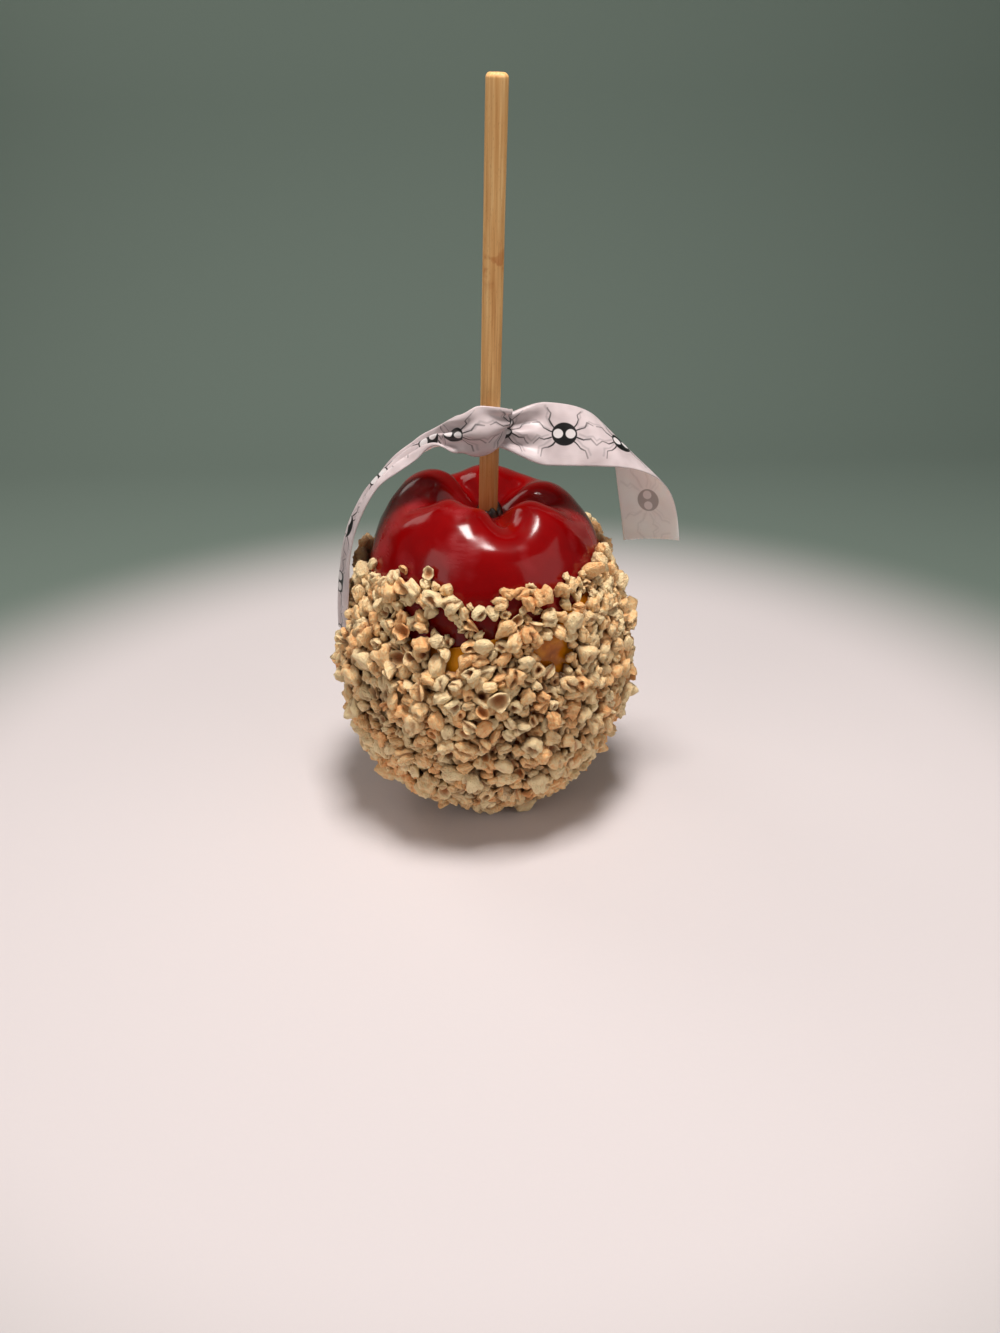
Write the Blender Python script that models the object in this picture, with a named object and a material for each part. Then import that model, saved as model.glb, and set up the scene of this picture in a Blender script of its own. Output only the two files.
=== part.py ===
"""A decorative toffee apple: a tall five-lobed red fruit, dipped in amber toffee and rolled in chopped nuts,
on a round wooden stick, with a narrow ribbon knotted round the stick above the fruit.

The origin is the centre of the flat foot that the nut coat stands on. +Z is up and -Y is the front.
The fruit, its coats and its stick share one axis, which leans a little to the front and to the right."""

import math

import bmesh
import bpy
from mathutils import Euler, Matrix, Vector, noise

MM = 0.001

# The axis of the fruit: where it starts, under the fruit's base, and how it leans.
AXIS_START = (-1.9 * MM, 6.7 * MM, 7.4 * MM)
LEAN_FORWARD = math.radians(6.3)
LEAN_RIGHT = math.radians(2.4)

FRUIT_HEIGHT = 108 * MM
FRUIT_RADIUS = 43 * MM
WIDEST_HEIGHT = 48 * MM
CREST_RADIUS = 20 * MM
DIMPLE_DEPTH = 11 * MM
GROOVES = tuple(math.radians(angle) for angle in (-80, -8, 56, 126, 198))
GROOVE_DROP = 6.5 * MM  # how far a groove lies below the crests beside it
GROOVE_BITE = 2.2 * MM  # and how far it cuts into the shoulder
LOBE_SWELL = 4.0 * MM  # how far a lobe leans into the dimple

GAP = 0.35 * MM
TOFFEE = 1.4 * MM
TOFFEE_RIM = 72 * MM
NUT_RIM = 84 * MM
NUT_RIM_WAVE = 5 * MM
COAT_AT_RIM = 4.6 * MM  # from the fruit's skin to the outside of the nuts
COAT_AT_WAIST = 7.6 * MM
COAT_AT_BASE = 9.2 * MM  # before the floor flattens it
NUT_BUMP = 1.2 * MM
NUT_BUMP_SIZE = 9 * MM

STICK_RADIUS = 3 * MM
STICK_LENGTH = 152 * MM
STICK_DEPTH = 32 * MM  # how much of it the fruit holds
STICK_ROUNDING = 1.3 * MM
HOLE_RADIUS = STICK_RADIUS + GAP

RIBBON_WIDTH = 19 * MM
RIBBON_THICKNESS = 0.8 * MM
KNOT_HEIGHT = 123.5 * MM  # along the axis, to the middle of the knot
KNOT_TALL = 12.5 * MM
KNOT_RADIUS = 6.6 * MM
KNOT_BULGE = 1.2 * MM  # more on the front left, where the ribbon crosses itself

SEGMENTS = 48  # round the fruit and its coats
STICK_SEGMENTS = 24  # round the stick and the knot on it


def new_material(name, colour, roughness):
    material = bpy.data.materials.new(name)
    material.use_nodes = True
    shader = material.node_tree.nodes["Principled BSDF"]
    shader.inputs["Base Color"].default_value = (*colour, 1.0)
    shader.inputs["Roughness"].default_value = roughness
    return material


def new_object(name, mesh_builder, material, parent=None):
    """An object whose mesh is read from a bmesh, shaded smooth but for its sharp edges."""
    mesh = bpy.data.meshes.new(name)
    bmesh.ops.recalc_face_normals(mesh_builder, faces=mesh_builder.faces)
    mesh_builder.to_mesh(mesh)
    mesh_builder.free()
    mesh.shade_smooth()
    mesh.set_sharp_from_angle(angle=math.radians(50))
    mesh.materials.append(material)
    made = bpy.data.objects.new(name, mesh)
    made.parent = parent
    bpy.context.collection.objects.link(made)
    return made


def smooth(low, high, value):
    """0 at low and 1 at high, eased at both ends; low may be the greater."""
    t = min(max((value - low) / (high - low), 0.0), 1.0)
    return t * t * (3 - 2 * t)


def bezier(points, t):
    """A point of the cubic curve from the first of four (radius, height) pairs to the last."""
    s = 1 - t
    shares = (s**3, 3 * s * s * t, 3 * s * t * t, t**3)
    return tuple(sum(share * p[i] for share, p in zip(shares, points)) for i in (0, 1))


# The fruit's outline has three curves: dimple to crest, crest to widest, and widest to base.
# A station from 0 to 3 runs along them.
OUTLINE = (
    (
        (HOLE_RADIUS, FRUIT_HEIGHT - DIMPLE_DEPTH),
        (0.42 * CREST_RADIUS, FRUIT_HEIGHT - DIMPLE_DEPTH),
        (0.52 * CREST_RADIUS, FRUIT_HEIGHT),
        (CREST_RADIUS, FRUIT_HEIGHT),
    ),
    (
        (CREST_RADIUS, FRUIT_HEIGHT),
        (0.77 * FRUIT_RADIUS, FRUIT_HEIGHT),
        (0.94 * FRUIT_RADIUS, 0.78 * FRUIT_HEIGHT),
        (FRUIT_RADIUS, WIDEST_HEIGHT),
    ),
    (
        (FRUIT_RADIUS, WIDEST_HEIGHT),
        (FRUIT_RADIUS, 0.48 * WIDEST_HEIGHT),
        (0.79 * FRUIT_RADIUS, 0.0),
        (0.0, 0.0),
    ),
)


def outline(station):
    curve = min(int(station), 2)
    return bezier(OUTLINE[curve], station - curve)


def lobe(angle):
    """1 along the middle of a lobe and 0 in the groove beside it."""
    turn = 2 * math.pi
    past = [(angle - groove) % turn for groove in GROOVES]
    before = [(groove - angle) % turn for groove in GROOVES]
    return math.sin(math.pi * min(past) / (min(past) + min(before))) ** 0.7 if min(past) > 0 else 0.0


def fruit_point(angle, station):
    radius, height = outline(station)
    groove = 1 - lobe(angle)
    radius += LOBE_SWELL * groove * smooth(0.0, 0.5, station) * smooth(1.1, 0.6, station)
    radius -= GROOVE_BITE * groove * smooth(0.8, 1.4, station) * smooth(2.6, 1.5, station)
    height -= GROOVE_DROP * groove * smooth(0.15, 0.9, station) * smooth(2.0, 1.1, station)
    return Vector((radius * math.cos(angle), radius * math.sin(angle), height))


def skin_normal(angle, station):
    """The outward direction at a point of the skin."""
    step = 0.01
    if station > 3 - 2 * step:
        return Vector((0, 0, -1))
    along = fruit_point(angle, station + step) - fruit_point(angle, station - step)
    around = fruit_point(angle + step, station) - fruit_point(angle - step, station)
    return around.cross(along).normalized() * -1


def station_at(height):
    """The station on the fruit's flank at this height, found by halving."""
    low, high = 1.0, 3.0
    for _ in range(30):
        middle = (low + high) / 2
        if outline(middle)[1] > height:
            low = middle
        else:
            high = middle
    return low


def add_ring(builder, point_at, segments=SEGMENTS):
    """A ring of vertices, one for each angle round the axis."""
    return [builder.verts.new(point_at(2 * math.pi * i / segments)) for i in range(segments)]


def join_rings(builder, upper, lower):
    for i in range(len(upper)):
        following = (i + 1) % len(upper)
        builder.faces.new((upper[i], upper[following], lower[following], lower[i]))


def close_with(builder, ring, tip):
    for i in range(len(ring)):
        builder.faces.new((ring[i], ring[(i + 1) % len(ring)], tip))


def circle(radius, height):
    """A point of a plain round ring at an angle."""
    return lambda angle: Vector((radius * math.cos(angle), radius * math.sin(angle), height))


def make_fruit(parent):
    """The whole skin, from the blind hole for the stick, over the lobes, to the base."""
    builder = bmesh.new()
    hole_floor = FRUIT_HEIGHT - DIMPLE_DEPTH - STICK_DEPTH
    rings = [add_ring(builder, circle(HOLE_RADIUS, hole_floor))]
    close_with(builder, rings[0], builder.verts.new((0, 0, hole_floor)))
    rows = (0, 0.25, 0.45, 0.6, 0.75, 0.88, 1, 1.12, 1.25, 1.38, 1.52, 1.66, 1.8, 1.93)
    rows += tuple(2 + 0.105 * row for row in range(1, 9)) + (2.92,)
    for station in rows:
        rings.append(add_ring(builder, lambda angle, s=station: fruit_point(angle, s)))
    for upper, lower in zip(rings, rings[1:]):
        join_rings(builder, upper, lower)
    close_with(builder, rings[-1], builder.verts.new((0, 0, 0)))
    return new_object("fruit", builder, new_material("red_skin", (0.36, 0.012, 0.018), 0.3), parent)


def coat_point(angle, station, offset):
    return fruit_point(angle, station) + offset * skin_normal(angle, station)


def make_shell(name, inner, outer, stations, material, parent):
    """A coat on the fruit's lower part: an outer and an inner skin that meet along its rim.
    inner and outer give the offset from the fruit; stations lists the rows at an angle, rim first."""
    builder = bmesh.new()
    skins = []
    for offset in (outer, inner):
        rings = []
        for row in range(len(stations(0.0))):
            rings.append(
                add_ring(
                    builder,
                    lambda angle, row=row, offset=offset: coat_point(
                        angle, stations(angle)[row], offset(angle, stations(angle)[row])
                    ),
                )
            )
        for upper, lower in zip(rings, rings[1:]):
            join_rings(builder, upper, lower)
        close_with(builder, rings[-1], builder.verts.new((0, 0, -offset(0.0, 3.0))))
        skins.append(rings)
    join_rings(builder, skins[0][0], skins[1][0])
    return new_object(name, builder, material, parent)


def spread(first, last, rows):
    return tuple(first + (last - first) * row / (rows - 1) for row in range(rows))


def make_toffee(parent):
    rim = station_at(TOFFEE_RIM)
    return make_shell(
        "toffee_coat",
        lambda angle, station: GAP,
        lambda angle, station: GAP + TOFFEE,
        lambda angle: spread(rim, 2.92, 12),
        new_material("amber_toffee", (0.46, 0.14, 0.012), 0.25),
        parent,
    )


def nut_rim(angle):
    """The station of the uneven upper edge of the nuts."""
    around = Vector((math.cos(angle), math.sin(angle), 0.0))
    wave = noise.noise(1.3 * around) + 0.7 * noise.noise(4.5 * around)
    return station_at(NUT_RIM + NUT_RIM_WAVE * wave)


def nut_outside(angle, station):
    """The offset of the outside of the nuts: thicker towards the base, and lumpy."""
    height = outline(station)[1]
    offset = COAT_AT_RIM + (COAT_AT_WAIST - COAT_AT_RIM) * smooth(NUT_RIM, WIDEST_HEIGHT, height)
    offset += (COAT_AT_BASE - COAT_AT_WAIST) * smooth(2.5, 3.0, station)
    return offset + NUT_BUMP * noise.noise(fruit_point(angle, station) / NUT_BUMP_SIZE)


def nut_inside(angle, station):
    """The nuts sit on the toffee, and above its rim on the fruit's own skin."""
    on_toffee = station > station_at(TOFFEE_RIM + 2 * MM)
    return 2 * GAP + TOFFEE if on_toffee else GAP


def make_nuts(parent, floor_cutter):
    above_toffee = station_at(TOFFEE_RIM + 2.4 * MM)
    beside_rim = station_at(TOFFEE_RIM + 1.4 * MM)
    made = make_shell(
        "nut_coat",
        nut_inside,
        nut_outside,
        lambda angle: spread(nut_rim(angle), above_toffee, 3) + spread(beside_rim, 2.92, 12),
        new_material("chopped_nuts", (0.55, 0.37, 0.19), 0.8),
        parent,
    )
    flat = made.modifiers.new("flat_foot", "BOOLEAN")
    flat.object = floor_cutter
    flat.operation = "DIFFERENCE"
    return made


def make_floor_cutter():
    """A block whose top is the surface that the object stands on."""
    side, depth = 2.5 * FRUIT_RADIUS, 20 * MM
    builder = bmesh.new()
    bmesh.ops.create_cube(builder, size=1.0, matrix=Matrix.Diagonal((side, side, depth, 1.0)))
    cutter = new_object("floor_cutter", builder, new_material("cutter", (0.5, 0.5, 0.5), 0.5))
    cutter.location = (0, 0, -depth / 2)
    cutter.hide_render = True
    cutter.display_type = "WIRE"
    return cutter


def make_stick(parent):
    """A dowel with a square-cut lower end in the hole and a sanded, rounded upper end."""
    start = FRUIT_HEIGHT - DIMPLE_DEPTH - STICK_DEPTH + GAP
    top = start + STICK_LENGTH
    steps = 4
    profile = [(STICK_RADIUS, start), (STICK_RADIUS, top - STICK_ROUNDING)]
    for step in range(1, steps + 1):
        bend = math.pi / 2 * step / steps
        inset = STICK_ROUNDING * (1 - math.cos(bend))
        profile.append((STICK_RADIUS - inset, top - STICK_ROUNDING * (1 - math.sin(bend))))
    builder = bmesh.new()
    rings = [add_ring(builder, circle(*row), STICK_SEGMENTS) for row in profile]
    for lower, upper in zip(rings, rings[1:]):
        join_rings(builder, lower, upper)
    close_with(builder, rings[0], builder.verts.new((0, 0, start)))
    close_with(builder, rings[-1], builder.verts.new((0, 0, top)))
    return new_object("stick", builder, new_material("bare_wood", (0.55, 0.33, 0.16), 0.6), parent)


def make_strip(name, point_at, length, rows, across, start=0.0):
    """A band of RIBBON_THICKNESS, whose middle surface is point_at(distance, side), side from -0.5 to 0.5."""
    builder = bmesh.new()
    grids = ([], [])
    step = 0.2 * MM
    for row in range(rows + 1):
        s = start + (length - start) * row / rows
        lines = ([], [])
        for column in range(across + 1):
            side = column / across - 0.5
            along = point_at(s + step, side) - point_at(s - step, side)
            over = point_at(s, side + 0.01) - point_at(s, side - 0.01)
            normal = along.cross(over).normalized()
            for line, face in zip(lines, (-0.5, 0.5)):
                line.append(builder.verts.new(point_at(s, side) + face * RIBBON_THICKNESS * normal))
        for grid, line in zip(grids, lines):
            grid.append(line)
    loops = []
    for row in range(rows + 1):
        loops.append(grids[0][row] + grids[1][row][::-1])
    for first, second in zip(loops, loops[1:]):
        join_rings(builder, first, second)
    for row in (0, rows):
        for column in range(across):
            corners = (grids[0][row][column], grids[0][row][column + 1])
            corners += (grids[1][row][column + 1], grids[1][row][column])
            builder.faces.new(corners)
    return new_object(name, builder, new_material(name + "_satin", (0.8, 0.76, 0.78), 0.4))


# The right tail is flat cloth rolled over once, about a line that crosses it slantwise.
RIGHT_START = Vector((6.0, -9.5, 130.6)) * MM
RIGHT_RUN = Vector((0.985, 0.10, -0.075)).normalized()
RIGHT_UP = Vector((0.0, 0.42, 0.90))
RIGHT_LENGTH = 80 * MM
ROLL_SLANT = math.radians(42)
ROLL_FROM = 15 * MM
ROLL_RADIUS = 12 * MM
ROLL_TURN = math.radians(138)


def right_tail(distance, side):
    """The cloth's point at a distance from the knot; it opens out from the knot's gathers."""
    up = (RIGHT_UP - RIGHT_UP.dot(RIGHT_RUN) * RIGHT_RUN).normalized()
    out = RIGHT_RUN.cross(up)
    across = side * RIBBON_WIDTH * (0.45 + 0.55 * smooth(-3 * MM, 14 * MM, distance))
    lean, rise = math.cos(ROLL_SLANT), math.sin(ROLL_SLANT)
    line = lean * RIGHT_RUN - rise * up
    over = rise * RIGHT_RUN + lean * up
    on_line = distance * lean - across * rise
    from_line = distance * rise + across * lean
    turn = min(max((from_line - ROLL_FROM) / ROLL_RADIUS, 0.0), ROLL_TURN)
    rest = max(from_line - ROLL_FROM - ROLL_RADIUS * ROLL_TURN, 0.0)
    forward = min(from_line, ROLL_FROM) + ROLL_RADIUS * math.sin(turn) + rest * math.cos(turn)
    back = ROLL_RADIUS * (1 - math.cos(turn)) + rest * math.sin(turn)
    return RIGHT_START + on_line * line + forward * over - back * out


# The left tail arches over to the side and lies on the nuts. Each row: the middle of the cloth in mm,
# the tilt of its width from level in degrees, and the share of its width that is open.
LEFT_TAIL = (
    ((-2.0, -9.5, 130.6), 62, 0.50),
    ((-12.5, -8.5, 128.6), 28, 0.58),
    ((-25.5, -6.5, 120.8), 2, 0.78),
    ((-36.4, -4.5, 108.5), -8, 1.0),
    ((-43.6, -2.5, 92.0), -5, 1.0),
    ((-48.2, -0.5, 74.0), 0, 1.0),
    ((-50.0, 1.0, 62.0), 0, 1.0),
)
LEFT_LENGTH = 93 * MM


def through(values, t):
    """A smooth curve through equally spaced values, by Catmull and Rom's rule."""
    last = len(values) - 1
    i = min(max(int(t * last), 0), last - 1)
    u = t * last - i
    p1, p2 = values[i], values[i + 1]
    p0 = values[i - 1] if i else 2 * p1 - p2
    p3 = values[i + 2] if i + 2 <= last else 2 * p2 - p1
    bend = (2 * p0 - 5 * p1 + 4 * p2 - p3) * u * u + (3 * p1 - p0 - 3 * p2 + p3) * u**3
    return 0.5 * (2 * p1 + (p2 - p0) * u + bend)


def left_tail(distance, side):
    t = distance / LEFT_LENGTH
    middle = through([Vector(row[0]) * MM for row in LEFT_TAIL], t)
    ahead = through([Vector(row[0]) * MM for row in LEFT_TAIL], t + 0.01)
    behind = through([Vector(row[0]) * MM for row in LEFT_TAIL], t - 0.01)
    run = (ahead - behind).normalized()
    tilt = math.radians(through([row[1] for row in LEFT_TAIL], t))
    width = Vector((0.0, math.cos(tilt), math.sin(tilt)))
    width = (width - width.dot(run) * run).normalized()
    share = through([row[2] for row in LEFT_TAIL], t)
    return middle + side * share * RIBBON_WIDTH * width


def make_knot():
    """The knot: a bulging collar round the stick."""
    builder = bmesh.new()
    steps = 8

    def outside(step):
        bend = math.pi * step / steps
        height = KNOT_HEIGHT - KNOT_TALL / 2 * math.cos(bend)
        reach = (KNOT_RADIUS - HOLE_RADIUS) * (0.35 + 0.65 * math.sin(bend) ** 0.6)

        def point(angle):
            bulge = KNOT_BULGE * math.sin(bend) * (0.5 + 0.5 * math.cos(angle - math.radians(215)))
            return circle(HOLE_RADIUS + reach + bulge, height)(angle)

        return point

    rings = [add_ring(builder, outside(step), STICK_SEGMENTS) for step in range(steps + 1)]
    for end in (0.5, -0.5):
        inner = circle(HOLE_RADIUS, KNOT_HEIGHT + end * KNOT_TALL)
        rings.append(add_ring(builder, inner, STICK_SEGMENTS))
    for first, second in zip(rings, rings[1:] + rings[:1]):
        join_rings(builder, first, second)
    return new_object("ribbon", builder, new_material("printed_satin", (0.8, 0.76, 0.78), 0.4))


def make_ribbon(axis):
    """One ribbon: the knot with its two tails joined to it."""
    knot = make_knot()
    knot.parent = axis
    tails = (
        make_strip("right_tail", right_tail, RIGHT_LENGTH, 26, 6, 1.5 * MM),
        make_strip("left_tail", left_tail, LEFT_LENGTH, 22, 4),
    )
    for tail in tails:
        tail.hide_render = True
        tail.display_type = "WIRE"
        join = knot.modifiers.new("join_" + tail.name, "BOOLEAN")
        join.object = tail
        join.operation = "UNION"
    return knot


def main():
    for old in list(bpy.data.objects):
        bpy.data.objects.remove(old, do_unlink=True)
    axis = bpy.data.objects.new("fruit_axis", None)
    axis.location = AXIS_START
    axis.rotation_euler = Euler((LEAN_FORWARD, LEAN_RIGHT, 0.0))
    bpy.context.collection.objects.link(axis)
    make_fruit(axis)
    make_toffee(axis)
    make_nuts(axis, make_floor_cutter())
    make_stick(axis)
    make_ribbon(axis)


main()
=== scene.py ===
# %% [markdown]
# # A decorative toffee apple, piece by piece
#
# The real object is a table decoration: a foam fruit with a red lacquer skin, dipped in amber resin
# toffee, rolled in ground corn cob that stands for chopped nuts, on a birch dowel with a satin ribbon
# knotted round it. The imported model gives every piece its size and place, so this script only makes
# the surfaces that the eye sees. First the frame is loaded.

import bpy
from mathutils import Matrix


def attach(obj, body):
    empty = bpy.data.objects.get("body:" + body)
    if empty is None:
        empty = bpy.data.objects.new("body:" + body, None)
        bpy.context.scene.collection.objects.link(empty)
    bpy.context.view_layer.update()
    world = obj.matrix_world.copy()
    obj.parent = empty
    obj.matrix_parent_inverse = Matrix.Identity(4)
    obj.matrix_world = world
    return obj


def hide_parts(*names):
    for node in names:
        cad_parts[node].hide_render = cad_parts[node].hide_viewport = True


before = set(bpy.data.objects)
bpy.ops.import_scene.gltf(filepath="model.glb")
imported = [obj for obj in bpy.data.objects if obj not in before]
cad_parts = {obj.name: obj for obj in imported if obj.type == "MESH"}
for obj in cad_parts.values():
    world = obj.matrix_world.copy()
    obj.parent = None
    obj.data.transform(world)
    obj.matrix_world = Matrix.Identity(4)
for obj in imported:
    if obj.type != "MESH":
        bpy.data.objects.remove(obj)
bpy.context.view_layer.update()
print("frame:", sorted(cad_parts))

# %% Modules
import math

import bmesh
import bpy
import numpy as np
from mathutils import Euler, Matrix, Vector, noise
from mathutils.bvhtree import BVHTree

MM = 0.001
chance = np.random.default_rng(27)

# %% [markdown]
# ## Helpers
#
# A few small helpers carry the whole lesson. Colours are picked as sRGB hex codes, as a paint chart
# gives them, but shaders add light, so they need linear values. A node is always added the same way:
# its kind, what goes into its sockets, which are numbers or other nodes' outputs, and its settings.
# And each piece is a mesh from points and faces that rides on the body, takes its material and
# hides the plain solid that it stands for.


# %% Colours, nodes and materials
def linear(code):
    """An sRGB hex code as a linear colour with alpha."""
    parts = [int(code[i : i + 2], 16) / 255 for i in (1, 3, 5)]
    return (*(c / 12.92 if c <= 0.04045 else ((c + 0.055) / 1.055) ** 2.4 for c in parts), 1.0)


def new_material(name, **constants):
    """A material with one Principled shader, whose plain sockets are set by name."""
    material = bpy.data.materials.new(name)
    material.use_nodes = True
    shader = material.node_tree.nodes["Principled BSDF"]
    for socket, value in constants.items():
        shader.inputs[socket.replace("_", " ")].default_value = value
    return material


def add_node(material, kind, *values, out=0, stops=(), **named):
    """Adds one node and gives the output asked for.

    Values, or other nodes' outputs, fill its sockets in order or by their capitalised names. A name
    in small letters is a setting, and stops are the places and colours of a ramp.
    """
    node = material.node_tree.nodes.new("ShaderNode" + kind)
    filled = dict(enumerate(values))
    for name, value in named.items():
        if name[0].isupper():
            filled[name.replace("_", " ")] = value
        else:
            setattr(node, name, value)
    for socket, value in filled.items():
        if isinstance(value, bpy.types.NodeSocket):
            material.node_tree.links.new(value, node.inputs[socket])
        else:
            node.inputs[socket].default_value = value
    if stops:
        colours = node.color_ramp.elements
        colours.remove(colours[-1])
        colours[0].position = stops[0][0]
        colours[0].color = linear(stops[0][1])
        for place, code in stops[1:]:
            colours.new(place).color = linear(code)
    return node.outputs[out]


def connect(material, **sockets):
    """Links node outputs to the Principled shader's sockets, by name."""
    shader = material.node_tree.nodes["Principled BSDF"]
    for name, output in sockets.items():
        material.node_tree.links.new(output, shader.inputs[name.replace("_", " ")])


def grained(material, colour, grain, gloss, strength, depth):
    """Finishes a material whose grain sets both its relief and its roughness, between two values."""
    rough = add_node(material, "MapRange", grain, 0.0, 1.0, *gloss)
    relief = add_node(material, "Bump", Height=grain, Strength=strength, Distance=depth)
    connect(material, Base_Color=colour, Roughness=rough, Normal=relief)


# %% Pieces
def new_piece(name, points, faces, material, stands_for=(), place=None, layers=None):
    """A smooth mesh piece on the root body; layers are numbers or vectors for each point."""
    mesh = bpy.data.meshes.new(name)
    mesh.from_pydata([tuple(p) for p in points], [], [tuple(f) for f in faces])
    builder = bmesh.new()
    builder.from_mesh(mesh)
    bmesh.ops.recalc_face_normals(builder, faces=builder.faces)
    builder.to_mesh(mesh)
    builder.free()
    mesh.shade_smooth()
    mesh.materials.append(material)
    for layer, values in (layers or {}).items():
        values = np.asarray(values, np.float32)
        vectors = values.ndim == 2
        stored = mesh.attributes.new(layer, "FLOAT_VECTOR" if vectors else "FLOAT", "POINT")
        stored.data.foreach_set("vector" if vectors else "value", values.ravel())
    piece = bpy.data.objects.new(name, mesh)
    bpy.context.scene.collection.objects.link(piece)
    piece.matrix_world = place or Matrix()
    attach(piece, "root")
    if stands_for:
        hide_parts(*stands_for)
    print(f"{name}: {len(mesh.vertices)} points, {len(mesh.polygons)} faces")
    return piece


# %% [markdown]
# ## The camera and the studio
#
# The camera looks down on the table from the height of someone who bends towards it, with a wide
# lens, and it is rolled by a degree, as a hand holds it. The set is a sheet of seamless paper that
# sweeps up behind the object, so that no edge of a table shows. Its colour paints a pool of light:
# pale round the object, where the light falls, and a soft grey green away from it, which sets the
# white ribbon off. The lights are softboxes: a small bright one overhead, which draws the highlights
# on the fruit's shoulders, and three weaker ones, at the left, at the right and behind, which keep
# the shadows open.

# %% Camera
EYE = Vector((5.0, -309.0, 204.5)) * MM
EYE_PITCH = math.radians(27.06)
EYE_ROLL = math.radians(1.09)
lens = bpy.data.cameras.new("table_camera")
lens.sensor_fit = "VERTICAL"
lens.sensor_height = 36.0
lens.lens = 27.0
lens.clip_start = 0.01
camera = bpy.data.objects.new("table_camera", lens)
camera.matrix_world = (
    Matrix.Translation(EYE)
    @ Matrix.Rotation(math.radians(90) - EYE_PITCH, 4, "X")
    @ Matrix.Rotation(-EYE_ROLL, 4, "Z")
)
bpy.context.scene.collection.objects.link(camera)
bpy.context.scene.camera = camera
bpy.context.scene.view_settings.view_transform = "Standard"

# %% Paper sweep
SWEEP_FRONT = -3.0
SWEEP_START = 0.42
SWEEP_RADIUS = 0.25
SWEEP_TOP = 1.6
SWEEP_HALF_WIDTH = 3.0
SWEEP_STEPS = 12


def turn(share):
    """A whole turn's share, in radians."""
    return 2 * math.pi * share


# Two more rows on the floor keep the shading of its smooth normals flat in front.
profile = [(SWEEP_FRONT, 0.0), (-0.6, 0.0), (0.0, 0.0), (SWEEP_START, 0.0)]
for step in range(1, SWEEP_STEPS + 1):
    bend = turn(0.25) * step / SWEEP_STEPS
    rise = SWEEP_RADIUS * (1 - math.cos(bend))
    profile.append((SWEEP_START + SWEEP_RADIUS * math.sin(bend), rise))
profile.append((SWEEP_START + SWEEP_RADIUS, SWEEP_TOP))
corners = [(side * SWEEP_HALF_WIDTH, y, z) for y, z in profile for side in (-1, 1)]
strips = [(2 * i, 2 * i + 1, 2 * i + 3, 2 * i + 2) for i in range(len(profile) - 1)]
paper_mesh = bpy.data.meshes.new("paper_sweep")
paper_mesh.from_pydata(corners, [], strips)
paper_mesh.shade_smooth()
paper = bpy.data.objects.new("paper_sweep", paper_mesh)
bpy.context.scene.collection.objects.link(paper)
print(f"paper: {len(strips)} strips, the wall {SWEEP_START + SWEEP_RADIUS:.2f} m behind")

# %% Seamless paper
# Uncoated paper, pressed: its matt fibres show no gloss. The fibres are about 1 mm apart.
PALE_TO = 0.18
DARK_FROM = 0.32
seamless = new_material("seamless_paper", Roughness=0.9)
paper_place = add_node(seamless, "NewGeometry", out="Position")
flat_place = add_node(seamless, "VectorMath", paper_place, (1.0, 1.0, 0.0), operation="MULTIPLY")
distance = add_node(seamless, "VectorMath", flat_place, operation="LENGTH", out="Value")
# Painted pool of light: the paper is pale round the object, where the light falls, and grey green away
# from it.
painted_light_pool = add_node(
    seamless, "MapRange", distance, PALE_TO, DARK_FROM, interpolation_type="SMOOTHSTEP"
)
tint = add_node(seamless, "ValToRGB", painted_light_pool, stops=((0.0, "#D5CECF"), (1.0, "#6B7A71")))
fibres = add_node(seamless, "TexNoise", paper_place, Scale=900.0)
relief = add_node(seamless, "Bump", Height=fibres, Strength=0.05)
connect(seamless, Base_Color=tint, Normal=relief)
paper_mesh.materials.append(seamless)

# %% Lights
air = bpy.data.worlds.new("studio_air")
air.use_nodes = True
air.node_tree.nodes["Background"].inputs["Color"].default_value = linear("#D2CFCE")
air.node_tree.nodes["Background"].inputs["Strength"].default_value = 0.2
bpy.context.scene.world = air


def add_softbox(name, location, aim, side, power, code):
    """A square area light that faces its aim."""
    light = bpy.data.lights.new(name, "AREA")
    light.size = side
    light.energy = power
    light.color = linear(code)[:3]
    box = bpy.data.objects.new(name, light)
    box.location = location
    box.rotation_euler = (Vector(aim) - Vector(location)).to_track_quat("-Z", "Y").to_euler()
    bpy.context.scene.collection.objects.link(box)


# Places and sides in metres, power in watts, and the lamp's colour.
MIDDLE = (0.0, 0.0, 0.07)
add_softbox("overhead_softbox", (0.04, -0.12, 0.75), MIDDLE, 0.2, 5.8, "#FFF9F5")
add_softbox("left_softbox", (-0.74, -0.6, 0.42), MIDDLE, 0.6, 2.0, "#FFF6F0")
add_softbox("right_softbox", (0.8, -0.52, 0.4), MIDDLE, 0.8, 1.9, "#FFF6F0")
add_softbox("back_softbox", (-0.5, 0.4, 0.56), MIDDLE, 0.36, 1.0, "#FFF6F0")

# %% [markdown]
# ## The fruit's shape
#
# The body of the fruit is a turned profile whose radius and height change round the axis: five lobes
# with grooves between them, deep in the dimple and fading out down the shoulder. The profile is three
# Bezier curves, dimple to crest, crest to widest and widest to base, so a station from 0 to 3 names
# any ring. Every other coat is an offset from this skin, so its functions come first.

# %% Sizes of the fruit and its axis
# The fruit leans a little: where its own axis starts, and how it is tilted.
AXIS = Matrix.LocRotScale(
    Vector((-1.9, 6.7, 7.4)) * MM, Euler((math.radians(6.3), math.radians(2.4), 0.0)), None
)
FRUIT_HEIGHT = 108 * MM
FRUIT_RADIUS = 43 * MM
WIDEST_HEIGHT = 48 * MM
CREST_RADIUS = 20 * MM
DIMPLE_DEPTH = 11 * MM
DIMPLE_HEIGHT = FRUIT_HEIGHT - DIMPLE_DEPTH
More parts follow.
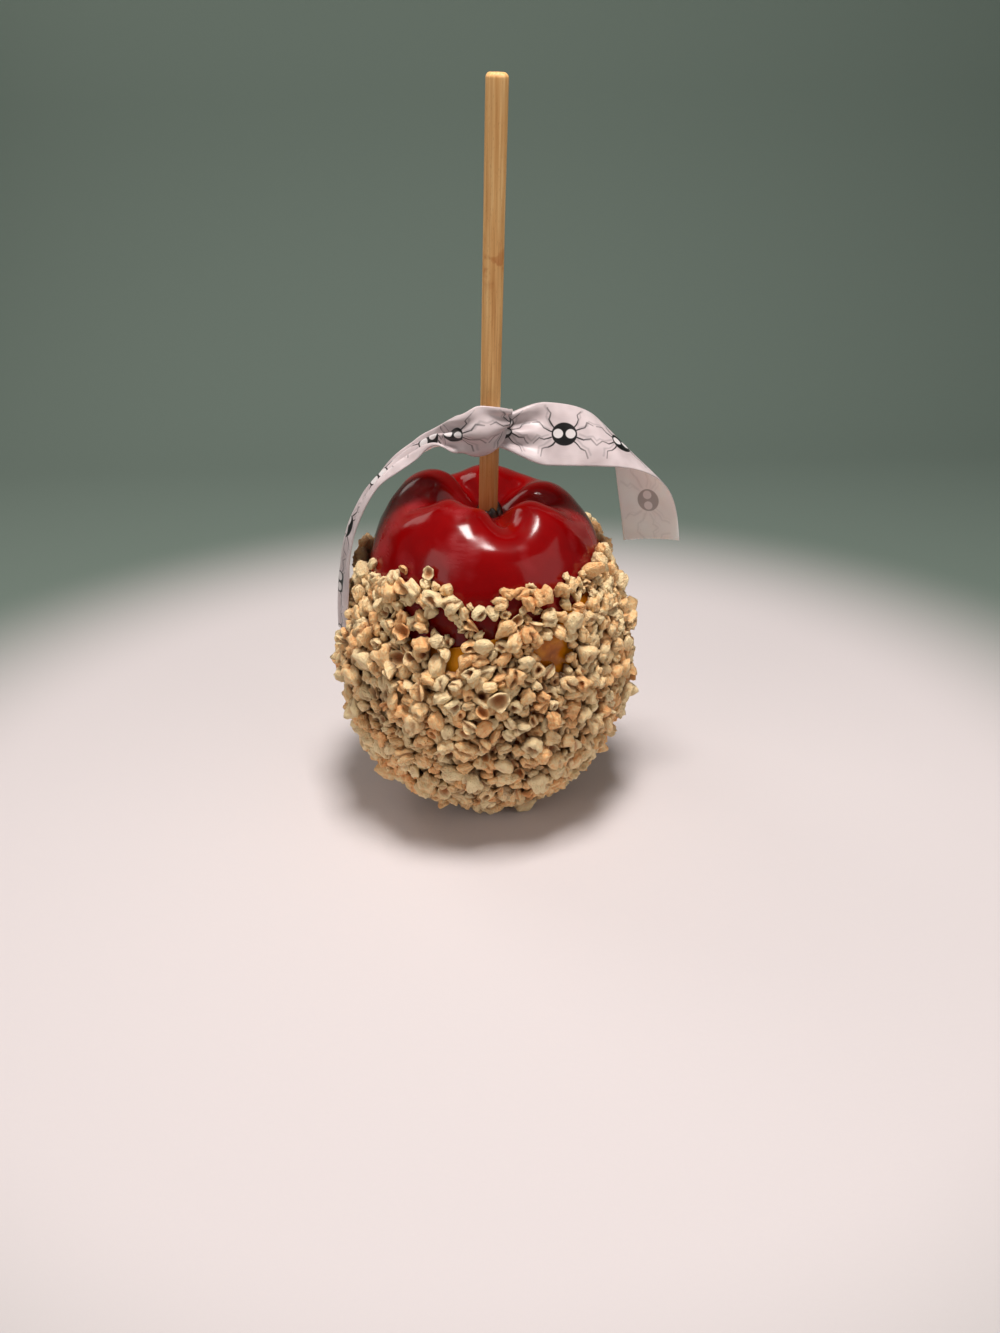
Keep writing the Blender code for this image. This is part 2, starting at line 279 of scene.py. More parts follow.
# Each groove: its angle in degrees, its drop in mm and its half width in degrees.
GROOVES = ((-75, 6.4, 14), (-10, 6.0, 16), (54, 5.5, 15), (124, 6.5, 13), (200, 6.0, 15))
# Where the crest stands lower or higher: the angle in degrees, the lift in mm and the half width.
LOBES = (
    (-112, -1.8, 30),
    (-150, 0.8, 16),
    (-42, -1.2, 30),
    (22, -3.0, 30),
    (90, -2.8, 30),
    (162, -0.4, 30),
)
GROOVE_SPREAD = 2.0  # a groove is so much wider on the shoulder than in the dimple
FRONT_SHOULDER = 2.4 * MM  # the front stands out so far past the round
FRONT_AT = math.radians(-85)
FRONT_WIDTH = math.radians(60)
GROOVE_BITE = 0.9 * MM
LOBE_SWELL = 4.0 * MM
GAP = 0.35 * MM
TOFFEE = 1.4 * MM
STICK_RADIUS = 3 * MM
STICK_LENGTH = 152 * MM
STICK_DEPTH = 32 * MM
HOLE_RADIUS = STICK_RADIUS + GAP


# %% The outline
def bezier(points, t):
    """A point of the cubic curve from the first of four (radius, height) pairs to the last."""
    s = 1 - t
    shares = (s**3, 3 * s * s * t, 3 * s * t * t, t**3)
    return tuple(sum(share * p[i] for share, p in zip(shares, points)) for i in (0, 1))


DIMPLE = (HOLE_RADIUS, DIMPLE_HEIGHT)
CREST = (CREST_RADIUS, FRUIT_HEIGHT)
WAIST = (FRUIT_RADIUS, WIDEST_HEIGHT)
OUTLINE = (
    (DIMPLE, (0.42 * CREST_RADIUS, DIMPLE_HEIGHT), (0.52 * CREST_RADIUS, FRUIT_HEIGHT), CREST),
    (CREST, (0.77 * FRUIT_RADIUS, FRUIT_HEIGHT), (0.94 * FRUIT_RADIUS, 0.78 * FRUIT_HEIGHT), WAIST),
    (WAIST, (FRUIT_RADIUS, 0.48 * WIDEST_HEIGHT), (0.79 * FRUIT_RADIUS, 0.0), (0.0, 0.0)),
)


def outline(station):
    """The radius and height of the plain turned body."""
    curve = min(int(station), 2)
    return bezier(OUTLINE[curve], station - curve)


# %% Its lobes and grooves
def smooth(low, high, value):
    """0 at low and 1 at high, eased at both ends; low may be the greater."""
    t = min(max((value - low) / (high - low), 0.0), 1.0)
    return t * t * (3 - 2 * t)


def bell(angle, middle, width):
    """1 at the middle angle, falling smoothly to 0 past the width."""
    apart = (angle - middle + math.pi) % turn(1) - math.pi
    return math.exp(-((apart / width) ** 2))


def fruit_point(angle, station):
    """A point of the lobed body, in metres from the fruit's own axis."""
    radius, height = outline(station)
    spread = 1 + (GROOVE_SPREAD - 1) * smooth(0.7, 1.5, station)
    groove = drop = lift = 0.0
    for middle, depth, width in GROOVES:
        share = bell(angle, math.radians(middle), math.radians(width * spread))
        groove += share
        drop += depth * MM * share
    for middle, rise, width in LOBES:
        lift += rise * MM * bell(angle, math.radians(middle), math.radians(width))
    radius += LOBE_SWELL * groove * smooth(0.0, 0.5, station) * smooth(1.1, 0.6, station)
    radius -= GROOVE_BITE * groove * smooth(0.8, 1.4, station) * smooth(2.1, 1.4, station)
    front = FRONT_SHOULDER * bell(angle, FRONT_AT, FRONT_WIDTH)
    radius += front * smooth(0.9, 1.4, station) * smooth(2.0, 1.4, station)
    height -= drop * smooth(0.15, 0.9, station) * smooth(1.6, 0.95, station)
    height += lift * smooth(0.2, 0.9, station) * smooth(2.2, 1.1, station)
    return Vector((radius * math.cos(angle), radius * math.sin(angle), height))


# %% Directions, coats and rings
def skin_normal(angle, station):
    """The outward direction at a point of the skin."""
    step = 0.01
    if station > 3 - 2 * step:
        return Vector((0, 0, -1))
    along = fruit_point(angle, station + step) - fruit_point(angle, station - step)
    around = fruit_point(angle + step, station) - fruit_point(angle - step, station)
    return along.cross(around).normalized()


def coat_point(angle, station, offset):
    """A point so far outside the body."""
    return fruit_point(angle, station) + offset * skin_normal(angle, station)


def station_at(height):
    """The station on the fruit's flank at this height, found by halving."""
    low, high = 1.0, 3.0
    for _ in range(30):
        middle = (low + high) / 2
        if outline(middle)[1] > height:
            low = middle
        else:
            high = middle
    return low


def away_from_axis(angle):
    """The level direction at this angle."""
    return Vector((math.cos(angle), math.sin(angle), 0.0))


def ring_of(point_at, around):
    """One closed ring: the points that a function gives for even angles."""
    return [point_at(turn(i / around)) for i in range(around)]


def round_ring(radius, height, around):
    return ring_of(lambda a: radius * away_from_axis(a) + Vector((0, 0, height)), around)


def loft(rings, first_tip=None, last_tip=None):
    """Points and faces of a skin through equal closed rings; a tip closes either end."""
    points = [point for ring in rings for point in ring]
    around = len(rings[0])
    faces = []
    for row in range(len(rings) - 1):
        for i in range(around):
            a, b = row * around + i, row * around + (i + 1) % around
            faces.append((a, b, b + around, a + around))
    for tip, row in ((first_tip, 0), (last_tip, len(rings) - 1)):
        if tip is not None:
            points.append(tip)
            for i in range(around):
                faces.append((row * around + i, row * around + (i + 1) % around, len(points) - 1))
    return points, faces


# %% [markdown]
# ## The red skin
#
# On the real object this is moulded foam under several coats of red lacquer, rubbed to a satin gloss.
# A sculpted ball would do, but the turned profile already has the lobes, so the skin is that profile
# in fine rings, with the blind hole for the stick at its middle and a slow unevenness of a third of a
# millimetre, which makes the highlights wander as they do on a dipped shape.

# %% The skin's mesh
SKIN_AROUND = 240
SKIN_ROWS = 150
UNEVENNESS = 0.35 * MM
WAVES = (14 * MM, 5 * MM)  # the sizes of the slow and the quick waves


def skin_point(angle, station):
    point = fruit_point(angle, station)
    wave = noise.noise(point / WAVES[0]) + 0.4 * noise.noise(point / WAVES[1])
    return point + UNEVENNESS * wave * smooth(0.1, 0.6, station) * skin_normal(angle, station)


hole_floor = DIMPLE_HEIGHT - STICK_DEPTH
hole_heights = (hole_floor, hole_floor + 8 * MM, DIMPLE_HEIGHT - 1 * MM)
rings = [round_ring(HOLE_RADIUS, height, SKIN_AROUND) for height in hole_heights]
for row in range(SKIN_ROWS):
    rings.append(ring_of(lambda a, s=3 * row / SKIN_ROWS: skin_point(a, s), SKIN_AROUND))
skin_points, skin_faces = loft(rings, Vector((0, 0, hole_floor)), Vector((0, 0, 0)))

# %% Red lacquer
# Acrylic lacquer, IOR 1.5: a deep red body colour, darker where a second coat pooled, with a soft
# gloss from rubbing. Handling leaves faint dull patches, a little paler, that break the highlights.
lacquer = new_material("rubbed_red_lacquer", IOR=1.5, Specular_IOR_Level=0.3)
skin_place = add_node(lacquer, "TexCoord", out="Object")
# Pools are about 26 mm across and dull patches 16 mm.
pooled = add_node(lacquer, "TexNoise", skin_place, Scale=38.0, Detail=4.0, Roughness=0.55)
reds = ((0.3, "#640001"), (0.5, "#7A0002"), (0.72, "#8A0102"))
body = add_node(lacquer, "ValToRGB", pooled, stops=reds)
patches = add_node(lacquer, "TexNoise", skin_place, Scale=62.0, Detail=2.0)
patch_share = add_node(lacquer, "MapRange", patches, 0.55, 0.72, 0.0, 0.5)
# Rub marks run round the fruit: noise squeezed to under a millimetre in height.
squeezed = add_node(lacquer, "Mapping", skin_place, Scale=(260.0, 260.0, 1400.0))
rubs = add_node(lacquer, "TexNoise", squeezed, Scale=1.0, Detail=3.0)
dulled = add_node(lacquer, "Math", patch_share, rubs, operation="MULTIPLY")
pale_red = linear("#B9454B")
skin_colour = add_node(
    lacquer, "Mix", Factor=dulled, A=body, B=pale_red, data_type="RGBA", out="Result"
)
skin_gloss = add_node(lacquer, "MapRange", dulled, 0.0, 0.3, 0.15, 0.45)
skin_relief = add_node(lacquer, "Bump", Height=rubs, Strength=0.05, Distance=0.3 * MM)
connect(lacquer, Base_Color=skin_colour, Roughness=skin_gloss, Normal=skin_relief)
red_fruit = new_piece(
    "red_fruit", skin_points, skin_faces, lacquer, ("fruit",), place=AXIS
)

# %% [markdown]
# ## The toffee
#
# Dipping leaves a coat of one to two millimetres that ends in a rounded, wandering rim and sags into
# shallow waves. It is an offset of the same skin, from the rim down, closed by an inner face, so its
# edge has real thickness where it shows between the nuts.

# %% The toffee's mesh
TOFFEE_RIM = 67.5 * MM
TOFFEE_RISE = 14 * MM  # it was dipped askew, so the rim climbs so much at the front right
TOFFEE_RISE_AT = math.radians(-42)
TOFFEE_RISE_WIDTH = math.radians(60)
TOFFEE_RIM_WAVE = 3 * MM
TOFFEE_AROUND = 180
TOFFEE_ROWS = 64
TOFFEE_END = 2.93  # the station where its rings end, round the tip of the base
SAG = 0.28
SAG_SIZE = 7 * MM


def toffee_rim(angle):
    """The station of the toffee's rim."""
    around = away_from_axis(angle) + Vector((0, 0, 2))
    rise = TOFFEE_RISE * bell(angle, TOFFEE_RISE_AT, TOFFEE_RISE_WIDTH)
    return station_at(TOFFEE_RIM + rise + TOFFEE_RIM_WAVE * noise.noise(2.6 * around))


def toffee_offset(angle, station, rim):
    sag = 1 + SAG * noise.noise(fruit_point(angle, station) / SAG_SIZE)
    return GAP + TOFFEE * sag * smooth(rim - 0.01, rim + 0.10, station) ** 0.5


def toffee_rings(outside):
    """Rings from the rim down to the base, on the outer face or on the inner one."""
    made = []
    for row in range(TOFFEE_ROWS):
        share = (row / (TOFFEE_ROWS - 1)) ** 1.3

        def point(angle):
            rim = toffee_rim(angle)
            station = rim + (TOFFEE_END - rim) * share
            return coat_point(angle, station, toffee_offset(angle, station, rim) if outside else GAP)

        made.append(ring_of(point, TOFFEE_AROUND))
    return made


toffee_skin = toffee_rings(False)[::-1] + toffee_rings(True)
toffee_points, toffee_faces = loft(
    toffee_skin, Vector((0, 0, -GAP)), Vector((0, 0, -GAP - TOFFEE))
)

# %% Amber resin
# Tinted casting resin, IOR 1.5, poured and left to run, so it is glassy. Thick spots look like dark
# caramel and thin ones like honey, which slow noise decides, with tiny bubbles as paler specks.
amber = new_material("poured_amber_resin", IOR=1.5, Specular_IOR_Level=0.3)
amber_place = add_node(amber, "TexCoord", out="Object")
# Thick and thin spots are about 10 mm apart, and bubbles 1.4 mm.
thickness = add_node(amber, "TexNoise", amber_place, Scale=95.0, Detail=3.0, Distortion=0.6)
ambers = ((0.32, "#7E3604"), (0.48, "#B86606"), (0.66, "#E0930F"))
amber_body = add_node(amber, "ValToRGB", thickness, stops=ambers)
bubbles = add_node(amber, "TexVoronoi", amber_place, Scale=700.0)
speck = add_node(amber, "MapRange", bubbles, 0.16, 0.08, 0.0, 0.35)
pale_amber = linear("#E3B055")
amber_colour = add_node(
    amber, "Mix", Factor=speck, A=amber_body, B=pale_amber, data_type="RGBA", out="Result"
)
grained(amber, amber_colour, thickness, (0.12, 0.3), 0.4, 0.5 * MM)
new_piece(
    "amber_toffee", toffee_points, toffee_faces, amber, ("toffee_coat",), place=AXIS
)

# %% [markdown]
# ## The stick and its glue
#
# The stick is a 6 mm birch dowel, planed round and cut off, with one end sanded over. A plain
# cylinder would look like plastic, so its rings are a few hundredths of a millimetre out of round,
# with one shallow flat where the planer skipped, and its top edge is worn unevenly. Round its foot
# in the dimple sits a ragged bead of the brown glue that holds it.

# %% The stick's mesh
STICK_AROUND = 48
STICK_ROWS = 60
STICK_ROUNDING = 1.3 * MM
ROUNDING_STEPS = 9
OUT_OF_ROUND = 0.05 * MM
PLANED_FLAT = 0.12 * MM
FLAT_AT = math.radians(-130)
SHRUNK = 0.03 * MM
stick_start = DIMPLE_HEIGHT - STICK_DEPTH + GAP
stick_top = stick_start + STICK_LENGTH


def stick_point(angle, height, inset=0.0):
    around = away_from_axis(angle)
    uneven = OUT_OF_ROUND * noise.noise(2.0 * around + Vector((0, 0, height / (25 * MM))))
    flat = PLANED_FLAT * smooth(0.9, 1.0, math.cos(angle - FLAT_AT))
    radius = STICK_RADIUS + uneven - flat - inset - SHRUNK
    return Vector((radius * around.x, radius * around.y, height))


rings = []
for row in range(STICK_ROWS):
    height = stick_start + (stick_top - STICK_ROUNDING - stick_start) * row / (STICK_ROWS - 1)
    rings.append(ring_of(lambda a, h=height: stick_point(a, h), STICK_AROUND))
for step in range(1, ROUNDING_STEPS):
    bend = turn(0.25) * step / ROUNDING_STEPS
    drop = STICK_ROUNDING * (1 - math.sin(bend))
    inset = STICK_ROUNDING * (1 - math.cos(bend))

    def worn(angle):
        wear = 1 + 0.35 * noise.noise(1.6 * away_from_axis(angle) + Vector((0, 0, 5)))
        return stick_point(angle, stick_top - drop, min(inset * wear, 0.9 * STICK_RADIUS))

    rings.append(ring_of(worn, STICK_AROUND))
stick_points, stick_faces = loft(
    rings, Vector((0, 0, stick_start)), Vector((0, 0, stick_top - 0.05 * MM))
)

# %% Birch
# Planed birch, unvarnished, IOR 1.5 and rough: pale tan with straight fine grain along the stick,
# short dark pores, an old orange stain more than halfway up, and more orange towards the foot, partly
# a toffee stain and partly painted shade and painted red reflection from the fruit.
birch = new_material("planed_birch", IOR=1.5)
wood_place = add_node(birch, "TexCoord", out="Object")
# Grain lines are 0.3 to 0.6 mm apart and centimetres long.
grain_space = add_node(birch, "Mapping", wood_place, Scale=(1500.0, 1500.0, 45.0))
grain = add_node(birch, "TexNoise", grain_space, Scale=1.0, Detail=5.0)
tans = ((0.3, "#CC9052"), (0.5, "#E3AC6B"), (0.68, "#F1C587"))
wood_body = add_node(birch, "ValToRGB", grain, stops=tans)
# Pores are 0.3 mm apart and 2.4 mm long.
pore_space = add_node(birch, "Mapping", wood_place, Scale=(3200.0, 3200.0, 420.0))
pores = add_node(birch, "TexVoronoi", pore_space, Scale=1.0)
pore_share = add_node(birch, "MapRange", pores, 0.22, 0.1, 0.0, 0.45)
pore_brown = linear("#9A5E2A")
with_pores = add_node(
    birch, "Mix", Factor=pore_share, A=wood_body, B=pore_brown, data_type="RGBA", out="Result"
)

# %% The stains and the painted shade on the birch
STAIN_HEIGHT = 172 * MM
STAIN_REACH = 9 * MM
FOOT_STAIN_AND_SHADE = (125 * MM, 112 * MM)  # it starts at the first height and is full at the second
wood_height = add_node(birch, "SeparateXYZ", wood_place, out="Z")
above_stain = add_node(birch, "Math", wood_height, STAIN_HEIGHT, operation="SUBTRACT")
from_stain = add_node(birch, "Math", above_stain, operation="ABSOLUTE")
stain_near = add_node(birch, "MapRange", from_stain, STAIN_REACH, 0.0)
blots = add_node(birch, "TexNoise", wood_place, Scale=260.0, Detail=3.0)
blot_share = add_node(birch, "MapRange", blots, 0.5, 0.62, 0.0, 0.6)
stained = add_node(birch, "Math", stain_near, blot_share, operation="MULTIPLY")
# Below the ribbon the stick is more orange: partly a toffee stain, partly painted shade and painted
# red reflection from the fruit.
foot_stain_and_shade = add_node(birch, "MapRange", wood_height, *FOOT_STAIN_AND_SHADE, 0.0, 0.55)
stains_and_shade = add_node(birch, "Math", stained, foot_stain_and_shade, operation="MAXIMUM")
orange = linear("#B8641F")
wood_colour = add_node(
    birch, "Mix", Factor=stains_and_shade, A=with_pores, B=orange, data_type="RGBA", out="Result"
)
grained(birch, wood_colour, grain, (0.5, 0.72), 0.25, 0.15 * MM)
new_piece("birch_dowel", stick_points, stick_faces, birch, ("stick",), place=AXIS)

# %% Glue bead
GLUE_AROUND = 60
GLUE_ROWS = 14
GLUE_FLOOR = DIMPLE_HEIGHT - 0.8 * MM
GLUE_SPREAD = 2.1 * MM
GLUE_CROWN = 2.4 * MM
GLUE_KEEL = (5.0 * MM, 2.7 * MM)  # the rings of its hidden foot
GLUE_KEEL_DEPTH = 0.8 * MM


def glue_point(angle, share):
    """From the stick over the bead's crown down to the dimple; share runs from 0 to 1."""
    around = away_from_axis(angle)
    lump = 0.9 + 0.9 * noise.noise(1.7 * around + Vector((3, 1, 0))) + 0.3 * noise.noise(5 * around)
    lump += 0.35 * math.cos(angle - math.radians(20))
    lump = max(lump, 0.25)
    radius = STICK_RADIUS - 0.1 * MM + GLUE_SPREAD * lump**0.5 * share
    rise = math.sin(math.pi * (0.42 + 0.58 * share)) * GLUE_CROWN * lump
    return Vector((radius * around.x, radius * around.y, GLUE_FLOOR + rise))


rings = [
    ring_of(lambda a, s=row / (GLUE_ROWS - 1): glue_point(a, s), GLUE_AROUND)
    for row in range(GLUE_ROWS)
]
for radius in GLUE_KEEL:
    rings.append(round_ring(radius, GLUE_FLOOR - GLUE_KEEL_DEPTH, GLUE_AROUND))
glue_points, glue_faces = loft(rings + rings[:1])

# %% Burnt glue
# Hot-melt glue that picked up soot and dye: almost black, brown where it is thin, and shiny. The
# specks of soot are 1.4 mm apart.
burnt_glue = new_material("burnt_hot_glue", IOR=1.48, Coat_Weight=0.3, Coat_Roughness=0.1)
glue_place = add_node(burnt_glue, "TexCoord", out="Object")
soot = add_node(burnt_glue, "TexNoise", glue_place, Scale=700.0, Detail=4.0)
browns = ((0.38, "#160A05"), (0.55, "#2E1409"), (0.7, "#5A2A12"))
glue_colour = add_node(burnt_glue, "ValToRGB", soot, stops=browns)
grained(burnt_glue, glue_colour, soot, (0.15, 0.55), 0.5, 0.4 * MM)
new_piece("glue_bead", glue_points, glue_faces, burnt_glue, place=AXIS)

# %% [markdown]
# ## The ribbon
#
# The ribbon is one strip of white satin, 19 mm wide, printed with black spiders every 20 mm. It goes
# round the stick behind its own tail, passes over the tail in front and leaves as the left tail. A
# cloth simulation would settle such a knot its own way, so the strip is laid along a given path:
# each row gives the middle of the cloth, the direction of its width and the share of the width
# that is open. What isn't open is taken up by pleats, so the cloth keeps its true width everywhere.

# %% The right tail: flat cloth rolled over once, about a line that crosses it slantwise
RIBBON_WIDTH = 19 * MM
KNOT_HEIGHT = 123.5 * MM
RIGHT_START = Vector((6.0, -9.5, 130.6)) * MM
RIGHT_RUN = Vector((0.985, 0.10, -0.075)).normalized()
RIGHT_UP = Vector((0.0, 0.42, 0.90))
RIGHT_LENGTH = 81 * MM
ROLL_SLANT = math.radians(42)
ROLL_FROM = 15 * MM
ROLL_RADIUS = 12 * MM
ROLL_TURN = math.radians(138)


def right_share(distance):
    """The open share of the width: the pleats run out within 16 mm of the knot."""
    return 0.45 + 0.55 * smooth(-3 * MM, 15 * MM, distance)


def right_tail(distance, across):
    """The cloth's point at a distance from the knot and across its open width."""
    up = (RIGHT_UP - RIGHT_UP.dot(RIGHT_RUN) * RIGHT_RUN).normalized()
    out = RIGHT_RUN.cross(up)
    lean, rise = math.cos(ROLL_SLANT), math.sin(ROLL_SLANT)
    line = lean * RIGHT_RUN - rise * up
    over = rise * RIGHT_RUN + lean * up
    on_line = distance * lean - across * rise
    from_line = distance * rise + across * lean
    rolled = min(max((from_line - ROLL_FROM) / ROLL_RADIUS, 0.0), ROLL_TURN)
    rest = max(from_line - ROLL_FROM - ROLL_RADIUS * ROLL_TURN, 0.0)
    forward = min(from_line, ROLL_FROM) + ROLL_RADIUS * math.sin(rolled) + rest * math.cos(rolled)
    back = ROLL_RADIUS * (1 - math.cos(rolled)) + rest * math.sin(rolled)
    wave = 0.5 * MM * math.sin(distance / (7 * MM)) * smooth(0.0, 20 * MM, distance)
    return RIGHT_START + on_line * line + forward * over - (back + wave) * out


# %% The knot and the left tail, row by row
def round_stick(radius, angle, rise, share, lean):
    """A row round the stick: mm from its axis, degrees, mm of height; lean tips the width outward."""
    a, tip = math.radians(angle), math.radians(lean)
    outward = away_from_axis(a)
    place = AXIS @ (radius * MM * outward + Vector((0, 0, KNOT_HEIGHT + rise * MM)))
    width = AXIS.to_3x3() @ (math.cos(tip) * Vector((0, 0, 1)) + math.sin(tip) * outward)
    return place, width, share


def free_row(place, width, share):
    """A row that hangs free: its middle in mm, the direction of its width and the open share."""
    return Vector(place) * MM, Vector(width).normalized(), share


start_width = (right_tail(0.0, 1 * MM) - right_tail(0.0, -1 * MM)).normalized()
PATH = (
    (right_tail(0.0, 0.0), start_width, right_share(0.0)),
    round_stick(4.1, -95, -0.5, 0.45, -8),
    round_stick(4.2, -150, -1.5, 0.42, 0),
    round_stick(4.2, -205, -1.5, 0.40, 0),
    round_stick(4.3, -260, 0.0, 0.40, 0),
    round_stick(4.5, -315, 2.0, 0.38, 4),
    round_stick(4.9, -355, 3.8, 0.36, 10),
    round_stick(5.6, -390, 4.4, 0.42, 14),
    round_stick(6.4, -420, 4.0, 0.62, 8),
    round_stick(7.4, -450, 3.4, 0.76, 2),
    round_stick(8.8, -478, 2.8, 0.80, 0),
    round_stick(10.6, -506, 1.4, 0.60, 2),
    free_row((-12.5, -8.5, 128.8), (0.1, 0.85, 0.35), 0.50),
    free_row((-19.4, -7.5, 125.2), (0.05, 0.93, 0.20), 0.60),
    free_row((-25.5, -6.5, 120.8), (0, 0.96, 0.05), 0.74),
    free_row((-31.2, -5.5, 115.2), (-0.04, 0.98, -0.08), 0.88),
    free_row((-36.4, -4.5, 108.5), (-0.12, 0.99, -0.12), 0.96),
    free_row((-40.4, -3.0, 101.0), (-0.19, 0.98, -0.08), 0.97),
    free_row((-43.4, -2.0, 92.0), (-0.22, 0.96, -0.03), 0.97),
    free_row((-45.6, -1.0, 82.0), (-0.245, 0.96, 0), 0.97),
    free_row((-47.2, 0.0, 71.0), (-0.27, 0.95, 0), 0.97),
    free_row((-47.8, 1.0, 62.0), (-0.29, 0.94, 0), 0.97),
)


def between(p0, p1, p2, p3, u):
    """A smooth curve from p1 to p2, by Catmull and Rom's rule."""
    bend = (2 * p0 - 5 * p1 + 4 * p2 - p3) * u * u + (3 * p1 - p0 - 3 * p2 + p3) * u**3
    return 0.5 * (2 * p1 + (p2 - p0) * u + bend)


# %% Rows of cloth, evenly spaced
ROW_STEP = 0.8 * MM


def knot_rows():
    """Rows along the path, a step apart: the middle, the width's direction and the open share."""
    before = (right_tail(10 * MM, 0.0), start_width, 0.6)
    after = (2 * PATH[-1][0] - PATH[-2][0], PATH[-1][1], 1.0)
    ends = [before, *PATH, after]
    rows, distance, last, due = [], 0.0, PATH[0][0], 0.0
    for i in range(1, len(ends) - 2):
        for step in range(40):
            place, width, share = (
                between(*(ends[i + k][part] for k in (-1, 0, 1, 2)), step / 40) for part in range(3)
            )
            distance += (place - last).length
            last = place
            if distance >= due:
                rows.append((place, width, share))
                due += ROW_STEP
    return rows


path_rows = knot_rows()

# %% The strip's surface
ACROSS = 40
PLEATS = 2.3
PLEAT_LIMIT = 1.15 * MM
CRUMPLE = 0.8 * MM  # loose creases beside the knot
KNOT_MIDDLE = 25 * MM
BULGE = 2.6 * MM  # the loop left of the stick is puffed out by so much
BULGE_MIDDLE = 37 * MM
BULGE_REACH = 8 * MM
CUP = 1.2 * MM  # the free ends bow across their width
CLOTH = 0.24 * MM


def pleat(side, share, distance):
    """How far the cloth stands off its middle surface, to take up the width that isn't open."""
    deep = RIBBON_WIDTH * share / (math.pi * PLEATS) * math.sqrt(max(1 / share - 1, 0.0))
    wander = 0.9 * math.sin(distance / (9 * MM)) + 0.5 * math.sin(distance / (4.1 * MM) + 1.0)
    pleats = min(deep, PLEAT_LIMIT) * math.sin(2 * math.pi * PLEATS * (side + 0.5) + wander)
    puffed = math.exp(-(((distance + BULGE_MIDDLE) / BULGE_REACH) ** 2))
    pleats += puffed * (BULGE * (1 - (2 * side) ** 2) - 0.7 * pleats)
    spot = Vector((distance / (7 * MM) + 1.5 * side, 3.2 * side, 4.0))
    creases = CRUMPLE * noise.noise(spot) * smooth(48 * MM, 20 * MM, abs(distance + KNOT_MIDDLE))
    hangs = smooth(66 * MM, 84 * MM, -distance) + smooth(45 * MM, 70 * MM, distance)
    return pleats + creases + CUP * hangs * (1 - (2 * side) ** 2)


def open_width(share):
    """Places across a row of cloth whose open share is this."""
    return [RIBBON_WIDTH * share * (k / ACROSS - 0.5) for k in range(ACROSS + 1)]


def cloth_rows():
    """Every row's points, before pleating, with its share and its distance from the knot."""
    rows = []
    count = round(RIGHT_LENGTH / ROW_STEP)
    for i in range(count, 0, -1):
        distance = RIGHT_LENGTH * i / count
        share = right_share(distance)
        sides = open_width(share)
        rows.append(([right_tail(distance, across) for across in sides], share, distance))
    for i, (place, width, share) in enumerate(path_rows):
        share = min(share, 1.0)
        points = [place + across * width.normalized() for across in open_width(share)]
        rows.append((points, share, -i * ROW_STEP))
    return rows


rows = cloth_rows()
grid = np.array([[tuple(point) for point in row[0]] for row in rows])


def grid_normals(points):
    """The unit normals of a grid of points."""
    along = np.gradient(points, axis=0)
    across = np.gradient(points, axis=1)
    normals = np.cross(across, along)
    return normals / np.linalg.norm(normals, axis=2, keepdims=True)


offsets = np.array(
    [[pleat(k / ACROSS - 0.5, share, d) for k in range(ACROSS + 1)] for _, share, d in rows]
)
grid = grid + grid_normals(grid) * offsets[..., None]
normals = grid_normals(grid)
faces_of_grid = (grid + normals * CLOTH / 2, grid - normals * CLOTH / 2)

# %% The strip's mesh
columns = ACROSS + 1
behind = len(rows) * columns
ribbon_points = np.concatenate([side.reshape(-1, 3) for side in faces_of_grid])
ribbon_faces = []
for first in (0, behind):
    for i in range(len(rows) - 1):
        for k in range(ACROSS):
            a = first + i * columns + k
            ribbon_faces.append((a, a + 1, a + columns + 1, a + columns))
face_count = len(ribbon_faces) // 2
for i in range(len(rows) - 1):
    for k in (0, ACROSS):
        a = i * columns + k
        ribbon_faces.append((a, a + columns, a + columns + behind, a + behind))
for i in (0, len(rows) - 1):
    for k in range(ACROSS):
        a = i * columns + k
        ribbon_faces.append((a, a + 1, a + 1 + behind, a + behind))

# %% Where the print falls
# The roll of print runs on through the knot, where a fold hides part of it twice.
HIDDEN_FOLDS = ((-22 * MM, 13.8), (-50 * MM, 10.5))
STRETCHED = 7.0  # the print was pulled out by so much where the tail rolls over


def print_place(distance, side):
    """Millimetres along the roll and across it."""
    hidden = sum(more * smooth(at, at - 1.5 * MM, distance) for at, more in HIDDEN_FOLDS)
    hidden += STRETCHED * smooth(45 * MM, 64 * MM, distance)
    return (distance / MM - hidden, side * RIBBON_WIDTH / MM, 0.0)


print_layer = [print_place(d, k / ACROSS - 0.5) for _, _, d in rows for k in range(columns)]

# %% [markdown]
# ## Printed satin
#
# Satin weave lets long threads float on the face, so it shines in broad soft streaks and looks smooth,
# while its reverse is matt. The spiders are ink on the face: an oval body with two pale eyes and eight
# crooked legs. An image would be the usual way, but a distance to an oval or to a line is easy to
# build from nodes, and it stays sharp at any size. On the reverse the same drawing shows through.

# %% The spider's drawing
# Everything is in millimetres from its middle, one half of it, because the other half mirrors it.
PITCH = 20.0
BODY = (3.9, 3.5)
EYE = ((1.9, 0.15), (1.5, 1.4))
LEGS = (
    ((3.0, 2.2), (4.6, 4.6), (4.2, 6.0), (5.6, 7.6)),
    ((3.7, 1.1), (6.2, 1.9), (7.4, 3.6), (9.4, 3.3)),
    ((3.8, -0.8), (6.0, -1.9), (7.9, -1.6), (9.3, -3.4)),
    ((3.1, -2.2), (5.0, -4.3), (6.6, -4.9), (7.2, -7.2)),
)
LEG_HALF_WIDTH = 0.22
CROOKED = 1.2  # the legs wander by so much
GHOST = (-0.9, -0.7, 0.0)  # where a second, misplaced pressing of the legs lies


